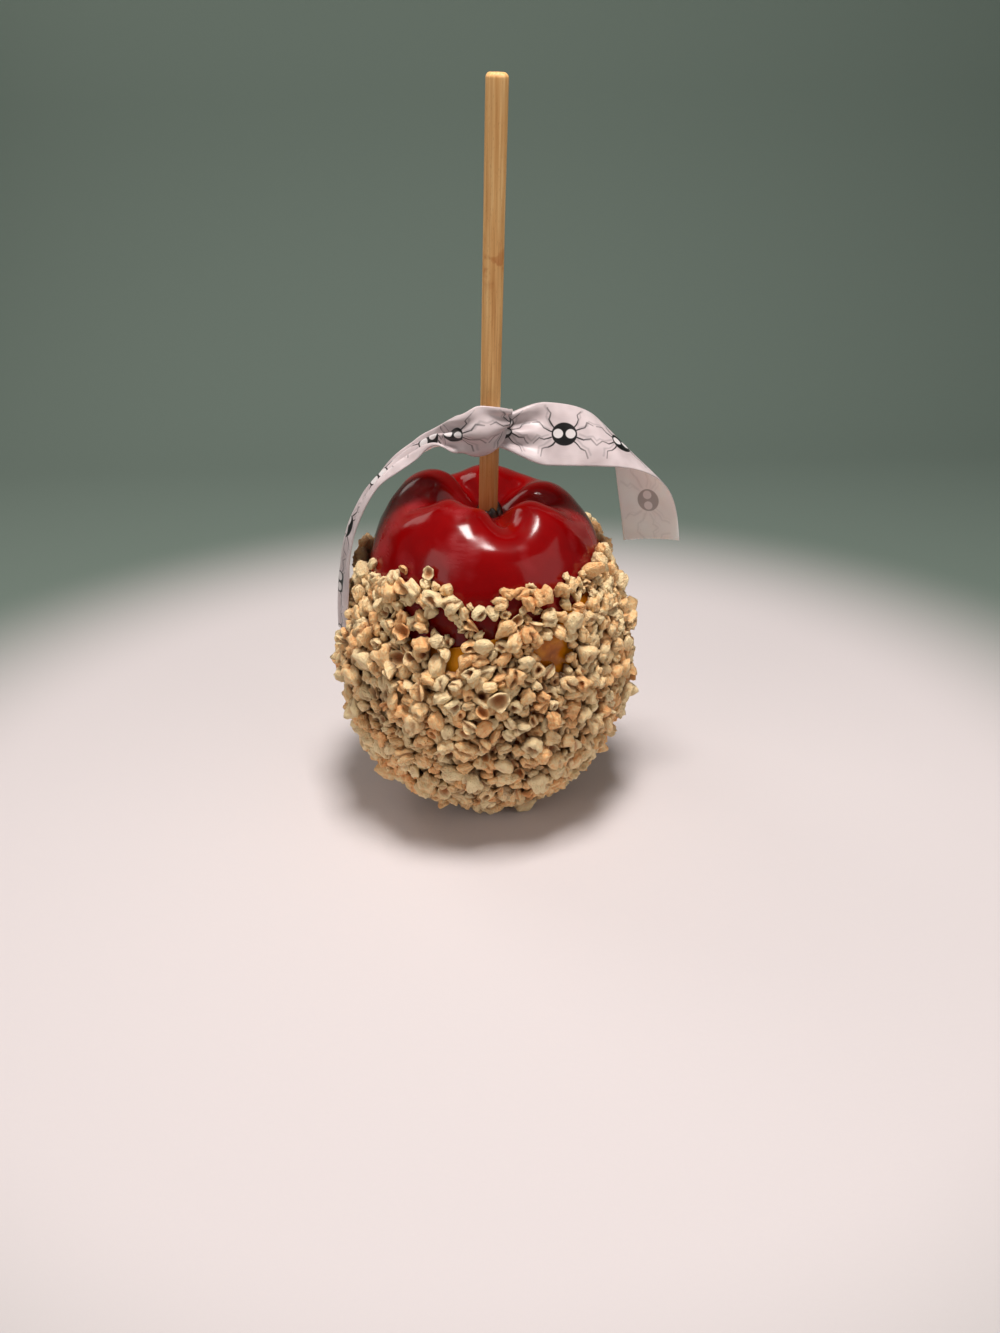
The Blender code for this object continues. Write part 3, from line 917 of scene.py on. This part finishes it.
# %% Ovals and legs as nodes
def oval(material, place, middle, half, edge):
    """1 in an oval, 0 outside it."""
    apart = add_node(material, "VectorMath", place, (*middle, 0.0), operation="SUBTRACT")
    scaled = add_node(material, "VectorMath", apart, (*half, 1.0), operation="DIVIDE")
    radius = add_node(material, "VectorMath", scaled, operation="LENGTH", out="Value")
    return add_node(material, "MapRange", radius, 1 + edge, 1 - edge)


def leg_distance(material, place):
    """Millimetres to the nearest leg."""
    lines = []
    for start, end in (pair for leg in LEGS for pair in zip(leg, leg[1:])):
        step = (end[0] - start[0], end[1] - start[1], 0.0)
        squared = step[0] ** 2 + step[1] ** 2
        apart = add_node(material, "VectorMath", place, (*start, 0.0), operation="SUBTRACT")
        along = add_node(material, "VectorMath", apart, step, operation="DOT_PRODUCT", out="Value")
        share = add_node(material, "Math", along, squared, operation="DIVIDE", use_clamp=True)
        foot = add_node(material, "VectorMath", step, Scale=share, operation="SCALE")
        lines.append(
            add_node(material, "VectorMath", apart, foot, operation="DISTANCE", out="Value")
        )
    nearest = lines[0]
    for line in lines[1:]:
        nearest = add_node(material, "Math", nearest, line, operation="MINIMUM")
    return nearest


# %% One spider every 20 mm of the roll
def spider_print(material):
    """The body, the legs, the eyes and a fainter second set of legs, as four outputs."""
    roll = add_node(material, "Attribute", attribute_name="roll", out="Vector")
    along = add_node(material, "SeparateXYZ", roll, out="X")
    across = add_node(material, "SeparateXYZ", roll, out="Y")
    shifted = add_node(material, "Math", along, PITCH / 2, operation="ADD")
    wrapped = add_node(material, "Math", shifted, PITCH, operation="FLOORED_MODULO")
    local = add_node(material, "Math", wrapped, PITCH / 2, operation="SUBTRACT")
    mirrored = add_node(material, "Math", local, operation="ABSOLUTE")
    place = add_node(material, "CombineXYZ", mirrored, across)
    waver = add_node(material, "TexNoise", roll, Scale=0.16, Detail=1.0, out="Color")
    swing, shift = (2 * CROOKED, 2 * CROOKED, 0.0), (-CROOKED, -CROOKED, 0.0)
    bent = add_node(material, "VectorMath", waver, swing, shift, operation="MULTIPLY_ADD")
    leg_place = add_node(material, "VectorMath", place, bent, operation="ADD")
    ghost_place = add_node(material, "VectorMath", leg_place, GHOST, operation="ADD")
    sharp = leg_distance(material, leg_place)
    legs = add_node(material, "MapRange", sharp, LEG_HALF_WIDTH * 1.4, LEG_HALF_WIDTH * 0.6)
    ghosts = add_node(material, "MapRange", leg_distance(material, ghost_place), 0.45, 0.1)
    # The ink wears off the legs' ends, from 5 to 9.5 mm out.
    from_middle = add_node(material, "VectorMath", place, operation="LENGTH", out="Value")
    kept = add_node(material, "MapRange", from_middle, 9.5, 5.0, 0.5, 1.0)
    worn_legs = add_node(material, "Math", legs, kept, operation="MULTIPLY")
    body = oval(material, place, (0.0, 0.0), BODY, 0.03)
    eyes = oval(material, place, EYE[0], EYE[1], 0.06)
    return body, worn_legs, eyes, ghosts


# %% The two faces of the satin
def satin(name, soaked, whites, leg_ink, body_ink, ghost_ink, eye_white, gloss):
    """Woven polyester, IOR 1.55: a pinkish white, clouded at random between the two whites given,
    which are painted greyer on the face, as shade, and paler on the reverse, as light shining through.

    Soaked is how much light passes into the cloth; the inks say how dark each part printed.
    """
    material = new_material(
        name,
        IOR=1.55,
        Specular_IOR_Level=0.3,
        Sheen_Weight=0.02,
        Sheen_Roughness=0.4,
        Subsurface_Weight=soaked,
        Subsurface_Radius=(1.0, 0.85, 0.8),
        Subsurface_Scale=CLOTH * 2,
    )
    body, legs, eyes, ghosts = spider_print(material)
    roll = add_node(material, "Attribute", attribute_name="roll", out="Vector")
    cloudy = add_node(material, "TexNoise", roll, Scale=0.12, Detail=2.0)
    cloth = add_node(material, "ValToRGB", cloudy, stops=((0.35, whites[0]), (0.65, whites[1])))
    thin_ink = add_node(material, "Math", legs, leg_ink, operation="MULTIPLY")
    thick_ink = add_node(material, "Math", body, body_ink, operation="MULTIPLY")
    ink = add_node(material, "Math", thin_ink, thick_ink, operation="MAXIMUM")
    faint = add_node(material, "Math", ghosts, ghost_ink, operation="MULTIPLY")
    colour = cloth
    for share, code in ((faint, "#5E585C"), (ink, "#030304"), (eyes, eye_white)):
        paint = linear(code)
        colour = add_node(
            material, "Mix", Factor=share, A=colour, B=paint, data_type="RGBA", out="Result"
        )
    # The weave's ribs are 0.1 mm apart on the real cloth, drawn here at 0.5 mm so that they show.
    ribs = add_node(material, "Mapping", roll, Scale=(0.35, 2.0, 1.0))
    weave = add_node(material, "TexNoise", ribs, Scale=1.0, Detail=3.0)
    grained(material, colour, weave, gloss, 0.3, 0.12 * MM)
    return material


# %% The satin ribbon
# Face and reverse are one white cloth. The face's whites are painted greyer, as shade, and the
# reverse's whites and eye whites paler, as light shining through the thin satin.
SHADED_FACE_WHITES = ("#BFB1B2", "#D4C7C8")
LIT_REVERSE_WHITES = ("#F7EAE9", "#FCF2F0")
face_satin = satin("printed_white_satin", 0.4, SHADED_FACE_WHITES, 0.97, 0.99, 0.3, "#D8D2D2", (0.28, 0.46))
reverse_satin = satin("satin_reverse", 0.9, LIT_REVERSE_WHITES, 0.06, 0.5, 0.1, "#E9DFDF", (0.55, 0.7))
ribbon = new_piece(
    "satin_ribbon",
    ribbon_points,
    ribbon_faces,
    face_satin,
    ("ribbon",),
    layers={"roll": print_layer * 2},
)
ribbon.data.materials.append(reverse_satin)
for face in list(ribbon.data.polygons)[face_count : 2 * face_count]:
    face.material_index = 1

# %% [markdown]
# ## The nuts
#
# The coat is a heap of about 2,900 granules of ground corn cob, 2.6 to 7 mm long, stuck on in one
# layer at the rim and up to three deep below. Particles would scatter them quickly, but every granule
# would be a copy and the heap would pass through itself. Here each granule is a ball of 162 points
# pushed into its own shape, and the heap is settled by a few dozen rounds of pulling every granule to
# the core and pushing apart the ones that overlap. There are seven kinds: puffed, creased, slim and
# hollow kernels, curled shells, split husks and angular chips.

# %% Where the coat reaches
# Its rim round the axis: degrees and height in mm.
NUT_RIM = (
    (-180, 83), (-158, 87), (-148, 87), (-138, 90), (-127, 93), (-117, 96), (-112, 92),
    (-104, 88.5), (-90, 88), (-84, 89.5), (-76, 93.5), (-70, 94), (-64, 88.5), (-60, 86.5),
    (-54, 94.5), (-48, 92), (-40, 93.5), (-34, 92), (-20, 94),
    (0, 88), (40, 89), (85, 92), (130, 86), (180, 83),
)
# Bare patches: degrees round the axis, height in mm and radius in mm, with amber or red behind.
BARE = (
    (-88, 77.5, 3.2), (-64, 70.5, 4.6), (-60, 65, 4.0), (-52, 72, 2.4), (-76, 86, 2.6),
    (-62, 84, 3.0), (-124, 80.5, 3.2), (-108, 80, 3.8), (-119, 72.5, 2.8), (-101, 69.5, 2.8),
    (-33, 46, 3.0), (-90, 32, 3.5), (150, 74, 5.0), (100, 70, 4.5), (60, 76, 5.0),
    (30, 62, 4.0), (-165, 70, 3.0),
)
DENSE_BELOW = 64 * MM
COAT_AT_RIM = 4.6 * MM
COAT_AT_WAIST = 7.6 * MM
COAT_AT_BASE = 9.2 * MM


def nut_rim(angle):
    """The height of the highest granules round the axis, in metres; the angle is in degrees."""
    for (a0, h0), (a1, h1) in zip(NUT_RIM, NUT_RIM[1:]):
        if a0 <= angle <= a1:
            return (h0 + (h1 - h0) * smooth(a0, a1, angle)) * MM
    return NUT_RIM[0][1] * MM


def coat_depth(height):
    """How far the heap stands off the skin at this height."""
    upper = smooth(84 * MM, WIDEST_HEIGHT, height)
    lower = smooth(WIDEST_HEIGHT, 10 * MM, height)
    return COAT_AT_RIM + (COAT_AT_WAIST - COAT_AT_RIM) * upper + (COAT_AT_BASE - COAT_AT_WAIST) * lower


# %% The core that the nuts stick to
def tree_of(piece):
    """The piece's surface, for finding the nearest point; its faces are the mesh's own."""
    points = [piece.matrix_world @ vertex.co for vertex in piece.data.vertices]
    return BVHTree.FromPolygons(points, [tuple(face.vertices) for face in piece.data.polygons])


bpy.context.view_layer.update()
skin_tree = tree_of(red_fruit)
ribbon_tree = tree_of(ribbon)
from_axis = AXIS.inverted()
rim_heights = [outline(toffee_rim(math.radians(degree)))[1] for degree in range(360)]


def place_on(point):
    """The point from the fruit's own axis, and its angle round it in degrees."""
    local = from_axis @ point
    return local, math.degrees(math.atan2(local.y, local.x))


def core_distance(point):
    """The distance outside the coated core, and the way out."""
    place, normal, _, _ = skin_tree.find_nearest(point)
    outward = (point - place).normalized()
    if outward.length < 0.5:
        outward = normal
    if outward.dot(normal) < 0:
        outward = -outward
    away = (point - place).dot(outward)
    local, angle = place_on(point)
    coated = local.z < rim_heights[round(angle) % 360]
    return away - (GAP + TOFFEE if coated else 0.0), outward


# %% Sizes and first places
SEEDS = 3080
SPARSE_SHARE = 0.62  # of the dense part's granules on each square millimetre, near the rim
MEAN_LENGTH = 4.4 * MM
LENGTH_SPREAD = 0.24  # on a logarithmic scale, as sieved grains have it
SMALLEST = 2.6 * MM
LARGEST = 7.0 * MM
FILLED = 0.44  # the radius that a granule fills, as a share of its length


def seed_places():
    """Random places over the skin, as many on each square millimetre, and a depth in the heap."""
    made = []
    corners = [tuple(AXIS @ skin_points[i] for i in face[:3]) for face in skin_faces]
    areas = []
    for a, b, c in corners:
        local, angle = place_on((a + b + c) / 3)
        below_rim = local.z < nut_rim(angle) - 1.5 * MM
        outside = local.xy.length > 12 * MM or local.z < 40 * MM  # not in the stick's hole
        share = 1 + (SPARSE_SHARE - 1) * smooth(60 * MM, 70 * MM, local.z)
        areas.append((b - a).cross(c - a).length * share * below_rim * outside)
    areas = np.array(areas)
    for face in chance.choice(len(corners), SEEDS, p=areas / areas.sum()):
        a, b, c = corners[face]
        u, v = (float(value) for value in chance.random(2))
        if u + v > 1:
            u, v = 1 - u, 1 - v
        place = a + u * (b - a) + v * (c - a)
        _, outward = core_distance(place)
        local = from_axis @ place
        piled = smooth(DENSE_BELOW + 6 * MM, DENSE_BELOW - 6 * MM, local.z)
        depth = 1.2 * MM + float(chance.random()) * coat_depth(local.z) * piled
        made.append(place + depth * outward)
    return np.array([tuple(p) for p in made])


places = seed_places()
lengths = MEAN_LENGTH * np.exp(LENGTH_SPREAD * chance.standard_normal(SEEDS))
lengths = np.clip(lengths, SMALLEST, LARGEST)
reach = FILLED * lengths

# %% Settling the heap
ROUNDS = 44
PULL = 0.10
PUSH = 0.5
CALM = 0.6  # only this share of a round's moves is made, so that the heap doesn't jump
SEAT = 0.7  # a granule sits on the core at this share of its reach
NEARBY = 9 * MM


def outward_of(points):
    """Every point's distance outside the core and its way out."""
    measured = [core_distance(Vector(p)) for p in points]
    return np.array([m[0] for m in measured]), np.array([tuple(m[1]) for m in measured])


for round_number in range(ROUNDS):
    if round_number % 4 == 0:
        gaps = places[:, None, :] - places[None, :, :]
        near = np.einsum("ijk,ijk->ij", gaps, gaps) < NEARBY**2
        first, second = np.nonzero(np.triu(near, 1))
    apart = places[first] - places[second]
    distance = np.linalg.norm(apart, axis=1) + 1e-9
    overlap = np.maximum(reach[first] + reach[second] - distance, 0.0)
    shove = apart * (PUSH * overlap / distance)[:, None]
    moved = np.zeros_like(places)
    np.add.at(moved, first, shove)
    np.add.at(moved, second, -shove)
    places = places + CALM * moved
    away, outward = outward_of(places)
    places -= outward * (PULL * np.maximum(away - SEAT * reach, 0.0))[:, None]
    places += outward * np.maximum(SEAT * reach - away, 0.0)[:, None]
    places[:, 2] = np.maximum(places[:, 2], 0.75 * reach)  # the table

# %% Which granules stay
CLUMP = 7.5 * MM  # the granules stand in clumps about so far apart
EMPTIEST = -0.68  # only the emptiest spots between the clumps lose their granules
OVER_COAT = 1.2 * MM  # a granule may stand out of the coat so much
RIBBON_GAP = 0.3 * MM
UNSHADED = 2.4 * MM  # the painted heap shade reaches so much less far than the coat is deep, so one layer stays light
HEAP_SHADE_SHARE = 0.7  # painted shade darkens the granules through this share of the rest of the coat's depth
RIM_SHADE_CUT = 0.65  # the painted shade is so much weaker at the rim
away, outward = outward_of(places)
keep = np.ones(SEEDS, bool)
heights = np.zeros(SEEDS)
for i, place in enumerate(places):
    local, angle = place_on(Vector(place))
    heights[i] = local.z
    clump = noise.noise(local / CLUMP)
    thinned = 0.25 * smooth(DENSE_BELOW, DENSE_BELOW + 20 * MM, local.z)
    keep[i] &= local.z + 0.7 * reach[i] < nut_rim(angle)
    keep[i] &= away[i] + 0.7 * reach[i] < coat_depth(local.z) + OVER_COAT
    keep[i] &= clump > thinned + EMPTIEST
    _, _, _, gap = ribbon_tree.find_nearest(Vector(place))
    keep[i] &= gap > 0.85 * reach[i] + RIBBON_GAP
    for bare_angle, height, radius in BARE:
        middle = coat_point(math.radians(bare_angle), station_at(height * MM), 2 * MM)
        keep[i] &= (local - middle).length > radius * MM
places, lengths, outward, away = places[keep], lengths[keep], outward[keep], away[keep]
reach_kept = reach[keep]
# Painted shade deep in the heap: how far it reaches under each granule, and how much of it stays near
# the rim.
shade_depth = np.array([HEAP_SHADE_SHARE * (coat_depth(height) - UNSHADED) for height in heights[keep]])
rim_shade_kept = np.array([1 - RIM_SHADE_CUT * smooth(66 * MM, 80 * MM, height) for height in heights[keep]])
count = len(places)
print(f"{count} granules, {lengths.min() / MM:.1f} to {lengths.max() / MM:.1f} mm")

# %% [markdown]
# ## The granules' shapes
#
# Every shape starts from the same ball. Its points are numbers in arrays, so that one line shapes all
# the granules of a kind at once: a kernel is stretched and then creased or hollowed, a shell is a thin
# cap bent round its middle, a husk is a fluted leaf folded along its length, and a chip is cut by
# flat planes.

# %% The ball and its lumps
ball = bmesh.new()
bmesh.ops.create_icosphere(ball, subdivisions=3, radius=1.0)
ball_points = np.array([tuple(v.co) for v in ball.verts])
ball_faces = np.array([[v.index for v in face.verts] for face in ball.faces])
ball.free()


def balls(number):
    """The ball's points once for each granule."""
    return np.repeat(ball_points[None], number, axis=0)


def draws(number, low, high):
    """A random number for each granule, shaped to spread over its points."""
    return chance.uniform(low, high, (number, 1))


def lumps(points, number, scale, depth):
    """Soft lumps: three waves across each granule, in directions of its own."""
    waves = chance.normal(size=(number, 3, 3)) * scale
    phases = chance.uniform(0, 2 * math.pi, (number, 3))
    swell = np.sin(np.einsum("nkc,npc->npk", waves, points) + phases[:, None, :]).sum(axis=2)
    return points * (1 + depth * swell / 3)[..., None]


def blocks(number):
    """Balls swollen towards boxes, each by a share of its own."""
    boxes = ball_points / (ball_points**4).sum(axis=1, keepdims=True) ** 0.25
    return ball_points + chance.uniform(0, 1, (number, 1, 1)) * (boxes - ball_points)


# %% Kernels
def kernels(number, crease, hollow, plump):
    """Rounded kernels, lumpy and tapered, with a crease down one side or a hollow in it."""
    points = lumps(lumps(blocks(number), number, 2.4, 0.32), number, 5.5, 0.20)
    x, y, z = np.moveaxis(points, 2, 0)
    taper = 1 - draws(number, -0.05, 0.4) * x
    aside = y - draws(number, -0.15, 0.15) + 0.15 * np.sin(3 * x + draws(number, 0, 6))
    groove = crease * draws(number, 0.5, 1.1) * np.exp(-((aside / 0.15) ** 2)) * (1 - 0.4 * x * x)
    ring = (x / draws(number, 0.42, 0.68)) ** 2 + (aside / draws(number, 0.26, 0.46)) ** 2
    mouth = hollow * draws(number, 0.8, 1.5) * np.exp(-(ring**2))
    dent = (groove + mouth) * np.clip(2 * z, 0, 1)
    notch = np.maximum(draws(number, -0.4, 0.5), 0) * np.exp(-((y / 0.28) ** 2)) * np.clip(x, 0, 1)
    shaped = np.stack(
        (
            0.48 * (x - notch),
            plump * draws(number, 0.34, 0.46) * y * taper,
            plump * draws(number, 0.32, 0.43) * (z * taper - dent),
        ),
        axis=2,
    )
    return shaped, np.clip(1.4 * dent + notch, 0, 1)


# %% Shells and husks
def shells(number):
    """Curled shells: a thin cap with turned-in sides and an uneven edge."""
    points = lumps(balls(number), number, 3.2, 0.16)
    x, y, z = np.moveaxis(points, 2, 0)
    spread = x * x + y * y
    cap = -draws(number, 0.22, 0.42) * spread
    fold = -draws(number, 0.0, 0.35) * y * y
    thick = 0.13 * np.sign(z) * np.abs(z) ** 0.6
    ruffle = 0.05 * np.sin(5 * np.arctan2(y, x) + draws(number, 0, 6)) * spread
    shaped = np.stack(
        (0.5 * x, draws(number, 0.34, 0.46) * y, -(cap + fold) - 0.2 + thick + ruffle), axis=2
    )
    return shaped, np.clip((z > 0) * (1.2 - 1.5 * spread), 0, 1)


def husks(number):
    """Split husks: a long leaf folded along its length, fluted like a shell of corn."""
    points = balls(number)
    x, y, z = np.moveaxis(points, 2, 0)
    flutes = 0.05 * np.sin(draws(number, 9, 14) * y + draws(number, 0, 6)) * (1 - x * x)
    fold = draws(number, 0.15, 0.5) * np.abs(y) ** 1.5
    bend = -draws(number, 0.0, 0.3) * x * x
    thick = 0.17 * np.sign(z) * np.abs(z) ** 0.7
    narrow = 1 - 0.55 * x * x
    twist = draws(number, -0.5, 0.5) * x
    width = draws(number, 0.28, 0.4) * y * narrow
    height = fold + bend + thick + flutes
    shaped = np.stack(
        (
            0.54 * x,
            width * np.cos(twist) - height * np.sin(twist),
            width * np.sin(twist) + height * np.cos(twist) - 0.05,
        ),
        axis=2,
    )
    return shaped, np.clip(0.9 - 2 * np.abs(y), 0, 1) * (z > 0)


# %% Chips
def chips(number):
    """Angular chips: a ball cut back by nine planes."""
    points = balls(number)
    planes = chance.normal(size=(number, 9, 3))
    planes /= np.linalg.norm(planes, axis=2, keepdims=True)
    depths = chance.uniform(0.5, 0.85, (number, 9))
    heights = np.einsum("nkc,npc->npk", planes, points)
    shrink = np.minimum(1, (depths[:, None, :] / np.maximum(heights, 1e-3))).min(axis=2)
    points = lumps(points * shrink[..., None], number, 3.5, 0.16)
    length, breadth = np.full((number, 1), 0.62), draws(number, 0.42, 0.56)
    sizes = np.stack((length, breadth, draws(number, 0.34, 0.5)), axis=2)
    return points * sizes, np.clip(1.4 * (0.72 - shrink), 0, 1)


# %% Turning them
def frames(directions, number, tip):
    """A random turn about the way out, and then a random tip away from it."""
    spin = chance.uniform(0, 2 * math.pi, number)
    lean = np.clip(np.abs(chance.normal(0, tip, number)), 0, 1.5)
    side = np.cross(directions, chance.normal(size=(number, 3)))
    side /= np.linalg.norm(side, axis=1, keepdims=True)
    third = np.cross(directions, side)
    up = directions * np.cos(lean)[:, None] + side * np.sin(lean)[:, None]
    flat = side * np.cos(lean)[:, None] - directions * np.sin(lean)[:, None]
    along = flat * np.cos(spin)[:, None] + third * np.sin(spin)[:, None]
    across = np.cross(up, along)
    return np.stack((along, across, up), axis=1)


# %% Placing them
FLOOR_GAP = 0.02 * MM


def place_granules(shaped, indices, tip):
    """World points of the granules, none of them under the table."""
    turned = np.einsum("npc,ncd->npd", shaped, frames(outward[indices], len(indices), tip))
    world = turned * lengths[indices][:, None, None] + places[indices][:, None, :]
    low = world[..., 2].min(axis=1)
    world[..., 2] += np.maximum(FLOOR_GAP - low, 0.0)[:, None]
    return world


# Each kind: its name, its share of the granules, its shape and how far they tip, in radians.
KINDS = (
    ("puffed_kernels", 0.21, lambda n: kernels(n, 0.3, 0.0, 1.0), 0.7),
    ("creased_kernels", 0.21, lambda n: kernels(n, 0.85, 0.0, 1.0), 0.45),
    ("slim_kernels", 0.15, lambda n: kernels(n, 0.4, 0.0, 0.82), 0.6),
    ("hollow_kernels", 0.14, lambda n: kernels(n, 0.1, 0.9, 1.0), 0.4),
    ("curled_shells", 0.05, shells, 0.5),
    ("split_husks", 0.07, husks, 0.6),
    ("angular_chips", 0.17, chips, 0.8),
)

# %% [markdown]
# ## Ground cob
#
# The granules are dried corn cob, coarsely ground, sieved and given a coat of varnish: cream where the
# pith shows, tan and pinkish brown on the outer husk, darker amber in a crease, partly pooled varnish
# and partly painted shade, and a painted dark red brown shade deep in the heap and at a granule's
# foot.
# Each granule has a tone of its own, stored with its points, and each point knows how deep it lies in
# a crease and in the heap.

# %% Varnished cob
# Pith is soft and almost matt, and the varnish gives it a thin gloss.
cob = new_material("varnished_corn_cob", IOR=1.47, Specular_IOR_Level=0.4)
tone, pit, heap_shade = (
    add_node(cob, "Attribute", attribute_name=name, out="Fac") for name in ("tone", "pit", "heap_shade")
)
grain_place = add_node(cob, "Attribute", attribute_name="grain", out="Vector")
# Blotches of husk are about 1.5 mm across; the fibres run along a granule, 0.4 mm apart.
blotches = add_node(cob, "TexNoise", grain_place, Scale=0.7, Detail=4.0, Roughness=0.65)
fibre_space = add_node(cob, "Mapping", grain_place, Scale=(0.5, 2.4, 2.4))
fibre = add_node(cob, "TexNoise", fibre_space, Scale=1.0, Detail=4.0)
toned = add_node(cob, "Math", tone, 0.4, -0.16, operation="MULTIPLY_ADD")
mottled = add_node(cob, "Math", blotches, 0.8, toned, operation="MULTIPLY_ADD")
streaked = add_node(cob, "Math", fibre, 0.45, mottled, operation="MULTIPLY_ADD")
husk = ((0.08, "#A8401E"), (0.22, "#E2864C"))
pith = ((0.38, "#FFB877"), (0.56, "#FFCF92"), (0.78, "#FFE6B4"))
cob_body = add_node(cob, "ValToRGB", streaked, stops=husk + pith)
# Varnish amber in creases and hollows, partly the varnish's colour and partly painted shade.
pit_varnish_and_shade = add_node(cob, "Math", pit, 0.85, operation="MULTIPLY")
# Painted shade, dark red brown, deep in the heap and at each granule's foot.
deep = add_node(cob, "Math", heap_shade, 0.75, operation="POWER")
painted_shade = add_node(cob, "Math", deep, 0.97, operation="MULTIPLY")
cob_colour = cob_body
for share, code in ((pit_varnish_and_shade, "#B4601A"), (painted_shade, "#561200")):
    varnish = linear(code)
    cob_colour = add_node(
        cob, "Mix", Factor=share, A=cob_colour, B=varnish, data_type="RGBA", out="Result"
    )
cob_height = add_node(cob, "Math", blotches, 1.2, fibre, operation="MULTIPLY_ADD")
cob_relief = add_node(cob, "Bump", Height=cob_height, Strength=1.0, Distance=0.8 * MM)
cob_gloss = add_node(cob, "MapRange", blotches, 0.0, 1.0, 0.42, 0.7)
connect(cob, Base_Color=cob_colour, Roughness=cob_gloss, Normal=cob_relief)

# %% The granules themselves
MOST_OF_A_KIND = 620  # this keeps a piece's mesh under 200,000 triangles
# A granule's foot gets painted shade: where it starts and ends, in shares of the reach, and how much.
FOOT_FROM = 0.1
FOOT_DEPTH = 0.8
FOOT_SHADE = 0.8
order = chance.permutation(count)
taken = 0
for name, kind_share, shape, tip in KINDS:
    number = min(round(kind_share * count), MOST_OF_A_KIND)
    indices = order[taken : taken + number]
    taken += number
    number = len(indices)
    shaped, pits = shape(number)
    world = place_granules(shaped, indices, tip)
    height = np.einsum("npc,nc->np", world - places[indices][:, None, :], outward[indices])
    # Painted shade: darker the deeper a point lies in the heap, and on each granule's underside at its
    # foot.
    heap_shade = np.clip(1 - (height + away[indices][:, None]) / shade_depth[indices][:, None], 0, 1)
    foot = np.clip((FOOT_FROM - height / reach_kept[indices][:, None]) / FOOT_DEPTH, 0, 1)
    heap_shade = np.maximum(heap_shade, FOOT_SHADE * foot) * rim_shade_kept[indices][:, None]
    own = shaped * lengths[indices][:, None, None] + chance.uniform(-0.5, 0.5, (number, 1, 3))
    starts = np.arange(number)[:, None, None] * len(ball_points)
    new_piece(
        name,
        world.reshape(-1, 3),
        (ball_faces[None] + starts).reshape(-1, 3),
        cob,
        ("nut_coat",),
        layers={
            "tone": np.repeat(chance.random(number), len(ball_points)),
            "pit": pits.reshape(-1),
            "heap_shade": heap_shade.reshape(-1),
            "grain": (own / MM).reshape(-1, 3),
        },
    )
